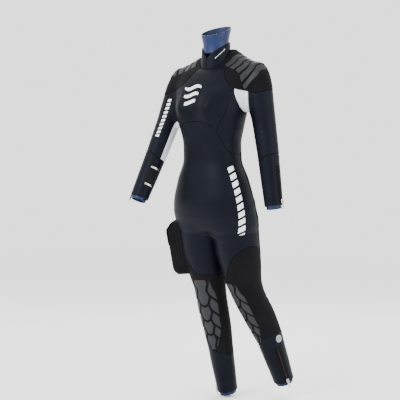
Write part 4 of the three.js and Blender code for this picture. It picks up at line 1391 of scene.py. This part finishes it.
def badge_waves(p):
    u, v, out = on_badge(p)
    r = np.hypot(u, v)
    ring = 0.8 - np.abs(r - 13.4)
    wave = 0.95 - np.abs((v + 2.2 * np.sin(u / 4.2)) % 7.0 - 3.5)
    return least(np.maximum(ring, least(wave, 10.6 - r)), SKIN_REACH - out)


class WETSUIT_OT_guards(bpy.types.Operator):
    """Bonds the rubber plates to the knees and shoulders, and the round badge to a calf"""

    bl_idname = "wetsuit.guards"
    bl_label = "Guards"

    def execute(self, context):
        rise = sizes().guard_rise / MM
        for side in SIDES:
            for part, region in (("knee", knee_plates(side)), ("shoulder", shoulder_plates(side))):
                points, faces = plate(*skin["all"], region, rise, 3.0)
                obj = new_piece(f"{part}_plates_{side}", points, faces, guard_rubber())
                finish_piece(obj, f"{part}_guard_{side}")
        points, faces = plate(*skin["all"], badge_disc, 1.6, 1.2, fine=2)
        obj = new_piece("badge_disc", points, faces, guard_rubber())
        finish_piece(obj, "calf_badge_left")
        points, faces = plate(*skin["all"], badge_waves, 1.9, 0.0, fine=3)
        obj = new_piece("badge_waves", points, faces, mark_print())
        finish_piece(obj, "calf_badge_left", trim=True)
        return {"FINISHED"}


# ---------- printed marks ----------
def line_frame(start, end):
    """A frame on the skin: its origin, along the line, across it and outwards, and the line's length."""
    start, end = np.array(start, float), np.array(end, float)
    along = end - start
    length = np.linalg.norm(along)
    along /= length
    normal = outwards(settle(((start + end) / 2)[None], 3))[0]
    across = np.cross(normal, along)
    across /= np.linalg.norm(across)
    return start, along, across, np.cross(along, across), length


def slanted_bars(start, end, half, pitch, bar, lean):
    """A row of slanted bars printed from start to end."""
    origin, along, across, normal, length = line_frame(start, end)

    def region(p):
        q = p - origin
        s, w, depth = q @ along, q @ across, q @ normal
        step = (s + lean * w) % pitch
        return least(step, bar - step, half - np.abs(w), s, length - s, 45 - np.abs(depth))

    return region


def chest_waves(p):
    """Three waves, one under the other, narrower downwards."""
    x, z = p[:, 0] + 18, p[:, 2] + 190
    best = np.full(x.shape, -1e3)
    for level, half in ((30, 40), (2, 31), (-26, 21)):
        wave = 7.0 - 0.0022 * x * x - np.abs(z - level - 6 * np.sin(x / 13.0))
        best = np.maximum(best, np.minimum(wave, half - np.abs(x)))
    return np.minimum(best, -40 - p[:, 1])


class WETSUIT_OT_marks(bpy.types.Operator):
    """Prints plain bars and waves on the chest, the hip and a sleeve"""

    bl_idname = "wetsuit.marks"
    bl_label = "Printed marks"

    def execute(self, context):
        hip = slanted_bars((116, -64, -459), (146, -34, -720), 13, 29, 20, 0.35)
        arm = slanted_bars((-160, -84, -198), (-184, -137, -344), 7.5, 16.5, 11, 0.35)
        for name, region, node in (
            ("chest_waves", chest_waves, "chest_panel"), ("hip_bars", hip, "front_panel"),
            ("sleeve_bars", arm, "upper_sleeve_right"),
        ):
            points, faces = plate(*skin["all"], region, 0.45, 0.0, fine=2)
            finish_piece(new_piece(name, points, faces, mark_print()), node, trim=True)
        return {"FINISHED"}


# ---------- the forearm pad ----------
def on_forearm(p):
    """Across from the pad's middle, down the right sleeve, and out from it."""
    phi, t, out = SLEEVES["right"].around(p)
    return (phi - PAD_ANGLE) * FOREARM_RADIUS, t, out


def pad_outline(half, low, high, corner=7.0):
    def region(p):
        u, t, out = on_forearm(p)
        du, dt = np.abs(u) - (half - corner), np.abs(t - (low + high) / 2) - ((high - low) / 2 - corner)
        far = np.hypot(np.maximum(du, 0), np.maximum(dt, 0)) + np.minimum(np.maximum(du, dt), 0) - corner
        return least(-far, SKIN_REACH - out)

    return region


def bar_outline(half, low, high):
    def region(p):
        u, t, out = on_forearm(p)
        return least(t - low, high - t, half - np.abs(u), SKIN_REACH - out)

    return region


class WETSUIT_OT_forearm_pad(bpy.types.Operator):
    """Bonds the grippy pad and its two bars to the right forearm"""

    bl_idname = "wetsuit.forearm_pad"
    bl_label = "Forearm pad"

    def execute(self, context):
        points, faces = plate(*skin["all"], pad_outline(20, 396, 488), 3.4, 4.0)
        pad = new_piece("forearm_pad", points, faces, pocket_cloth())
        finish_piece(pad, "forearm_pad_right")
        for number, low in enumerate((403, 473)):
            points, faces = plate(*skin["all"], bar_outline(16, low, low + 8), 4.6, 1.4)
            bar = new_piece(f"forearm_bar_{number + 1}", points, faces, cast_metal())
            finish_piece(bar, "forearm_pad_right", trim=True)
        return {"FINISHED"}


# ---------- zips ----------
def zip_frames():
    """Where each zip's slider rests: across the teeth, away from the cloth, up the zip, and its place."""
    joints = {j["name"]: j for j in frame["joints"]}
    lift = SLIDER_TOP + ARCH_EYE / 2
    found = {}
    for key in [f"{limb}_{side}" for limb in ("wrist", "ankle") for side in SIDES] + ["back"]:
        limb, _, side = key.partition("_")
        pull = joints[f"{limb}_pull" + (f"_{side}" if side else "")]
        across = np.array(pull["axis"], float)
        pivot = np.array(pull["pos_m"], float) * 1000
        if side:
            up = np.array(joints[f"{limb}_zip_{side}"]["axis"], float)
            away = np.cross(up, across)
        else:
            away = pivot - np.array([0, BACK_ZIP_CENTRE, pivot[2]])
            away /= np.linalg.norm(away)
            up = np.cross(across, away)
        found[key] = (across, away, up, pivot - away * lift)
    return found


def place_mesh(obj, axes, origin):
    obj.data.transform(placement(axes, origin * MM))


def metal_hardware(name, puller):
    """A cast slider with its arch, or the puller that hangs from it; x across, y away from the cloth, z up."""
    build = bmesh.new()

    def lump(w, h, d, x, y, z, bevel):
        made = bmesh.ops.create_cube(build, size=1.0)["verts"]
        for v in made:
            v.co = Vector((v.co.x * w + x, v.co.y * h + y, v.co.z * d + z))
        edges = list({e for v in made for e in v.link_edges})
        bmesh.ops.bevel(build, geom=edges, offset=bevel, segments=3, profile=0.6, affect="EDGES")

    if puller:
        y = SLIDER_TOP + ARCH_EYE / 2
        for x in (-3.15, 3.15):
            lump(1.7, 1.7, 28.0, x, y, -13.9, 0.55)
        for z in (0.0, -9.0, -28.2):
            lump(7.9, 1.7, 1.8 if z else 1.7, 0, y, z, 0.5)
        for k in range(5):
            lump(5.4, 1.1, 1.3, 0, y, -12.2 - 3.2 * k, 0.4)
        lump(5.2, 0.8, 18, 0, y, -18.6, 0.3)
    else:
        lump(11, 1.9, 2 * SLIDER_HALF_LENGTH, 0, 3.35, 0, 0.7)
        for x in (-4.2, 4.2):
            lump(2.4, 3.9, 14.6, x, 2.15, 0, 0.6)
        for z in (-1, 1):
            lump(2.8, ARCH_EYE + 0.6, 1.5, 0, 4.1 + ARCH_EYE / 2, z * (ARCH_EYE / 2 + 0.75), 0.4)
        lump(2.8, 1.4, ARCH_EYE + 3, 0, SLIDER_TOP + ARCH_EYE + 0.7, 0, 0.4)
    return mesh_object(name, build, cast_metal())


def teeth_chain(name, run):
    obj = link(bpy.data.objects.new(name, bpy.data.meshes.new(name)))
    return run_nodes(
        obj, teeth_tree(),
        {"Pitch": sizes().tooth_pitch, "Run": run * MM, "Width": 0.005, "Height": 0.002, "Finish": zip_plastic()},
    )


def on_blades(angle, radius, level):
    """A point on the shoulder zip's arc, at a radius from the arc's upright axis."""
    return radius * math.sin(angle), BACK_ZIP_CENTRE + radius * math.cos(angle), level - BACK_ZIP_LEVEL


def cuff_zip(key, limb, side, axes, rest):
    """A tape on the skin of a cuff's outer side, and its straight chain of teeth."""
    tube, hem, run = {
        "wrist": (SLEEVES[side], SLEEVE_LENGTH, WRIST_ZIP), "ankle": (LEGS[side], LEG_LENGTH, ANKLE_ZIP)
    }[limb]
    angle = SIDES[side] * math.pi / 2

    def tape_outline(p):
        phi, t, out = tube.around(p)
        u = ((phi - angle + math.pi) % (2 * math.pi) - math.pi) * 37.0
        return least(TAPE_HALF - np.abs(u), t - (hem - run), hem - HEM_TO_ZIP - t, SKIN_REACH - out)

    teeth = teeth_chain(f"{key}_teeth", run - 2 * HEM_TO_ZIP - 1)
    teeth.data.transform(Matrix.Translation((0, 0.001, 0.001)))
    place_mesh(teeth, axes, rest - axes[2] * (SLIDER_HALF_LENGTH + 1))
    tape = new_piece(f"{key}_tape", *plate(*skin["all"], tape_outline, 1.3, 1.0, fine=2), tape_cloth())
    return tape, teeth


def back_zip():
    """A thick tape round the shoulder blades, and its chain of teeth bent round the same arc."""
    teeth_half = math.asin((BACK_ZIP_REACH - HEM_TO_ZIP) / BACK_ZIP_RADIUS)
    radius = BACK_ZIP_RADIUS + 2.8 + 1
    teeth = teeth_chain("back_teeth", 2 * teeth_half * radius - 1)
    for vertex in teeth.data.vertices:
        x, y, z = vertex.co / MM
        vertex.co = Vector(on_blades(teeth_half - (z + 0.5) / radius, radius + y, x)) * MM
    half, rim = math.asin(BACK_ZIP_REACH / BACK_ZIP_RADIUS), TAPE_HALF - 0.8
    profile = [
        (-TAPE_HALF, -14), (-TAPE_HALF, 1.6), (-rim, 2.3), (-6, 2.5), (6, 2.5), (rim, 2.3), (TAPE_HALF, 1.6),
        (TAPE_HALF, -14),
    ]
    columns = np.linspace(-half, half, 60)
    points = np.array([on_blades(a, BACK_ZIP_RADIUS + r, z) for a in columns for z, r in profile])
    tape = new_piece("back_tape", points, ring_faces(len(columns), len(profile)), tape_cloth())
    return face_outwards(tape, close=True), teeth


class WETSUIT_OT_zips(bpy.types.Operator):
    """Sews in the zips: tapes, teeth, sliders and pullers"""

    bl_idname = "wetsuit.zips"
    bl_label = "Zips"

    def execute(self, context):
        for key, (across, away, up, rest) in zip_frames().items():
            limb, _, side = key.partition("_")
            tail, axes = (f"_{side}" if side else ""), (across, away, up)
            tape, teeth = cuff_zip(key, limb, side, axes, rest) if side else back_zip()
            finish_piece(tape, f"{limb}_zip_tape{tail}")
            finish_piece(face_outwards(teeth), f"{limb}_zip_teeth{tail}")
            for part in ("slider", "puller"):
                obj = metal_hardware(f"{key}_{part}_cast", part == "puller")
                place_mesh(obj, axes, rest)
                finish_piece(face_outwards(obj), f"{limb}_zip_{part}{tail}")
        return {"FINISHED"}


# ---------- the thigh pocket ----------
def rounded_block(name, outline, half, corner, material):
    """A soft-edged block from an outline (out from the thigh, down it), as wide as twice half."""
    build = bmesh.new()
    sides = [[build.verts.new((-x, y, -t)) for x, t in outline] for y in (-half, half)]
    build.faces.new(sides[0])
    build.faces.new(sides[1][::-1])
    n = len(outline)
    for k in range(n):
        build.faces.new((sides[0][k], sides[0][(k + 1) % n], sides[1][(k + 1) % n], sides[1][k]))
    bmesh.ops.recalc_face_normals(build, faces=build.faces)
    bmesh.ops.bevel(
        build, geom=list(build.edges), offset=corner, segments=4, profile=0.5, affect="EDGES", clamp_overlap=True
    )
    bmesh.ops.triangulate(build, faces=[f for f in build.faces if len(f.verts) > 4])
    build.transform(LEGS["right"].matrix())
    return mesh_object(name, build, material)


def piping(name, half_path, radius, material):
    """A round binding round the pocket; its path (x, y, distance down the leg) goes on as its own mirror image."""
    tube = LEGS["right"]
    path = np.array(half_path + [(x, -y, t) for x, y, t in reversed(half_path)], float)
    fine = []
    for a, b in zip(path[:-1], path[1:]):
        steps = max(2, int(np.linalg.norm(b - a) / 3))
        fine += [a + (b - a) * k / steps for k in range(steps)]
    fine.append(path[-1])
    line = np.array(fine)
    for _ in range(4):
        line[1:-1] = (line[:-2] + 2 * line[1:-1] + line[2:]) / 4
    world = tube.world(np.stack([line[:, 0], line[:, 1], -line[:, 2]], 1))
    tangent = np.gradient(world, axis=0)
    tangent /= np.linalg.norm(tangent, axis=1, keepdims=True)
    helper = np.cross(tangent, tube.basis[:, 0] + 0.3 * tube.basis[:, 2])
    helper /= np.linalg.norm(helper, axis=1, keepdims=True)
    other = np.cross(tangent, helper)
    count = 10
    a = np.linspace(0, 2 * math.pi, count, endpoint=False)
    swell = np.ones(len(world))
    swell[[0, -1]] = 0.02
    rings = world[:, None] + radius * swell[:, None, None] * (
        helper[:, None] * np.cos(a)[None, :, None] + other[:, None] * np.sin(a)[None, :, None]
    )
    obj = new_piece(name, rings.reshape(-1, 3), ring_faces(len(world), count), material)
    return face_outwards(obj, close=True)


class WETSUIT_OT_pocket(bpy.types.Operator):
    """Makes the bellows pocket on the right thigh, its flap, bindings and snap"""

    bl_idname = "wetsuit.pocket"
    bl_label = "Thigh pocket"

    def execute(self, context):
        top, face, hinge, half = POCKET_TOP, POCKET_FACE, POCKET_HINGE, POCKET_HALF
        foot = top + POCKET_HEIGHT
        bag = rounded_block(
            "pocket_bag",
            [(40, top + 1), (hinge, top + 1), (face, top + 31), (face, foot - 16), (face - 14, foot), (40, foot)],
            half, 6.0, pocket_cloth(),
        )
        finish_piece(bag, "pocket_body")
        edge = half + 0.6
        for number, x in enumerate((70.0, 82.0, 94.0, 106.0)):
            low = foot + 0.4 if x < face - 14 else foot - 8
            path = [(-x, -edge, top + 12), (-x, -edge, low - 8), (-x, -edge + 8, low)]
            pleat = piping(f"pocket_pleat_{number + 1}", path, 1.5, pocket_cloth())
            finish_piece(pleat, "pocket_body", trim=True)
        rim = half - 1.5
        path = [(-face, -rim, top + 36), (-face, -rim, foot - 24), (-face + 6, -rim + 5, foot - 7)]
        finish_piece(piping("pocket_binding", path, 1.7, tape_cloth()), "pocket_body", trim=True)
        rise, flap_foot, outer = 0.7, top + 30 + 62, face + 0.3
        lid = rounded_block(
            "pocket_lid",
            [
                (hinge + 6, top + 5 - rise), (outer, top + 30 - rise), (outer, flap_foot), (outer + 2.5, flap_foot),
                (outer + 2.5, top + 28.5 - rise), (hinge + 6, top + 2 - rise),
            ],
            half + 2, 1.1, pocket_cloth(),
        )
        finish_piece(lid, "pocket_flap")
        rim, out = half + 1.2, outer + 2.0
        path = [
            (-hinge - 8, -rim, top + 5), (-out + 2, -rim, top + 28), (-out, -rim, top + 36),
            (-out, -rim, flap_foot - 8), (-out, -rim + 8, flap_foot - 0.5),
        ]
        finish_piece(piping("lid_binding", path, 1.6, tape_cloth()), "pocket_flap", trim=True)
        profile = ((0.2, 1.6), (3.0, 1.7), (4.6, 1.3), (5.8, 1.9), (6.6, 1.3), (6.8, -0.4))
        angles = [2 * math.pi * k / 28 for k in range(28)]
        points = np.array([
            (-(out + h), r * math.cos(a), -(flap_foot - 16) + r * math.sin(a)) for r, h in profile for a in angles
        ])
        faces = ring_faces(len(profile), len(angles))
        snap = new_piece("lid_snap", LEGS["right"].world(points), faces, cast_metal())
        finish_piece(face_outwards(snap, close=True), "pocket_flap", trim=True)
        return {"FINISHED"}


class WETSUIT_PT_workshop(bpy.types.Panel):
    """Lists the sizes, the colours and each step of making the suit"""

    bl_idname = "WETSUIT_PT_workshop"
    bl_label = "Wetsuit"
    bl_space_type = "VIEW_3D"
    bl_region_type = "UI"
    bl_category = "Wetsuit"

    def draw(self, context):
        layout = self.layout
        for group in (context.scene.wetsuit_sizes, context.scene.wetsuit_colours):
            column = layout.column(align=True)
            for name in group.__annotations__:
                column.prop(group, name)
        for step in STEPS:
            layout.operator(step.bl_idname)


STEPS = (
    WETSUIT_OT_stage, WETSUIT_OT_panels, WETSUIT_OT_stitches, WETSUIT_OT_collar, WETSUIT_OT_guards,
    WETSUIT_OT_marks, WETSUIT_OT_forearm_pad, WETSUIT_OT_zips, WETSUIT_OT_pocket,
)
CLASSES = (WetsuitSizes, WetsuitColours, *STEPS, WETSUIT_PT_workshop)


def register():
    for made in CLASSES:
        bpy.utils.register_class(made)
    bpy.types.Scene.wetsuit_sizes = PointerProperty(type=WetsuitSizes)
    bpy.types.Scene.wetsuit_colours = PointerProperty(type=WetsuitColours)


def unregister():
    del bpy.types.Scene.wetsuit_colours
    del bpy.types.Scene.wetsuit_sizes
    for made in reversed(CLASSES):
        bpy.utils.unregister_class(made)


def main():
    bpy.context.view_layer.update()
    register()
    bpy.ops.wetsuit.stage()
    bpy.ops.wetsuit.panels()
    bpy.ops.wetsuit.stitches()
    bpy.ops.wetsuit.collar()
    bpy.ops.wetsuit.guards()
    bpy.ops.wetsuit.marks()
    bpy.ops.wetsuit.forearm_pad()
    bpy.ops.wetsuit.zips()
    bpy.ops.wetsuit.pocket()


if __name__ == "__main__":
    main()
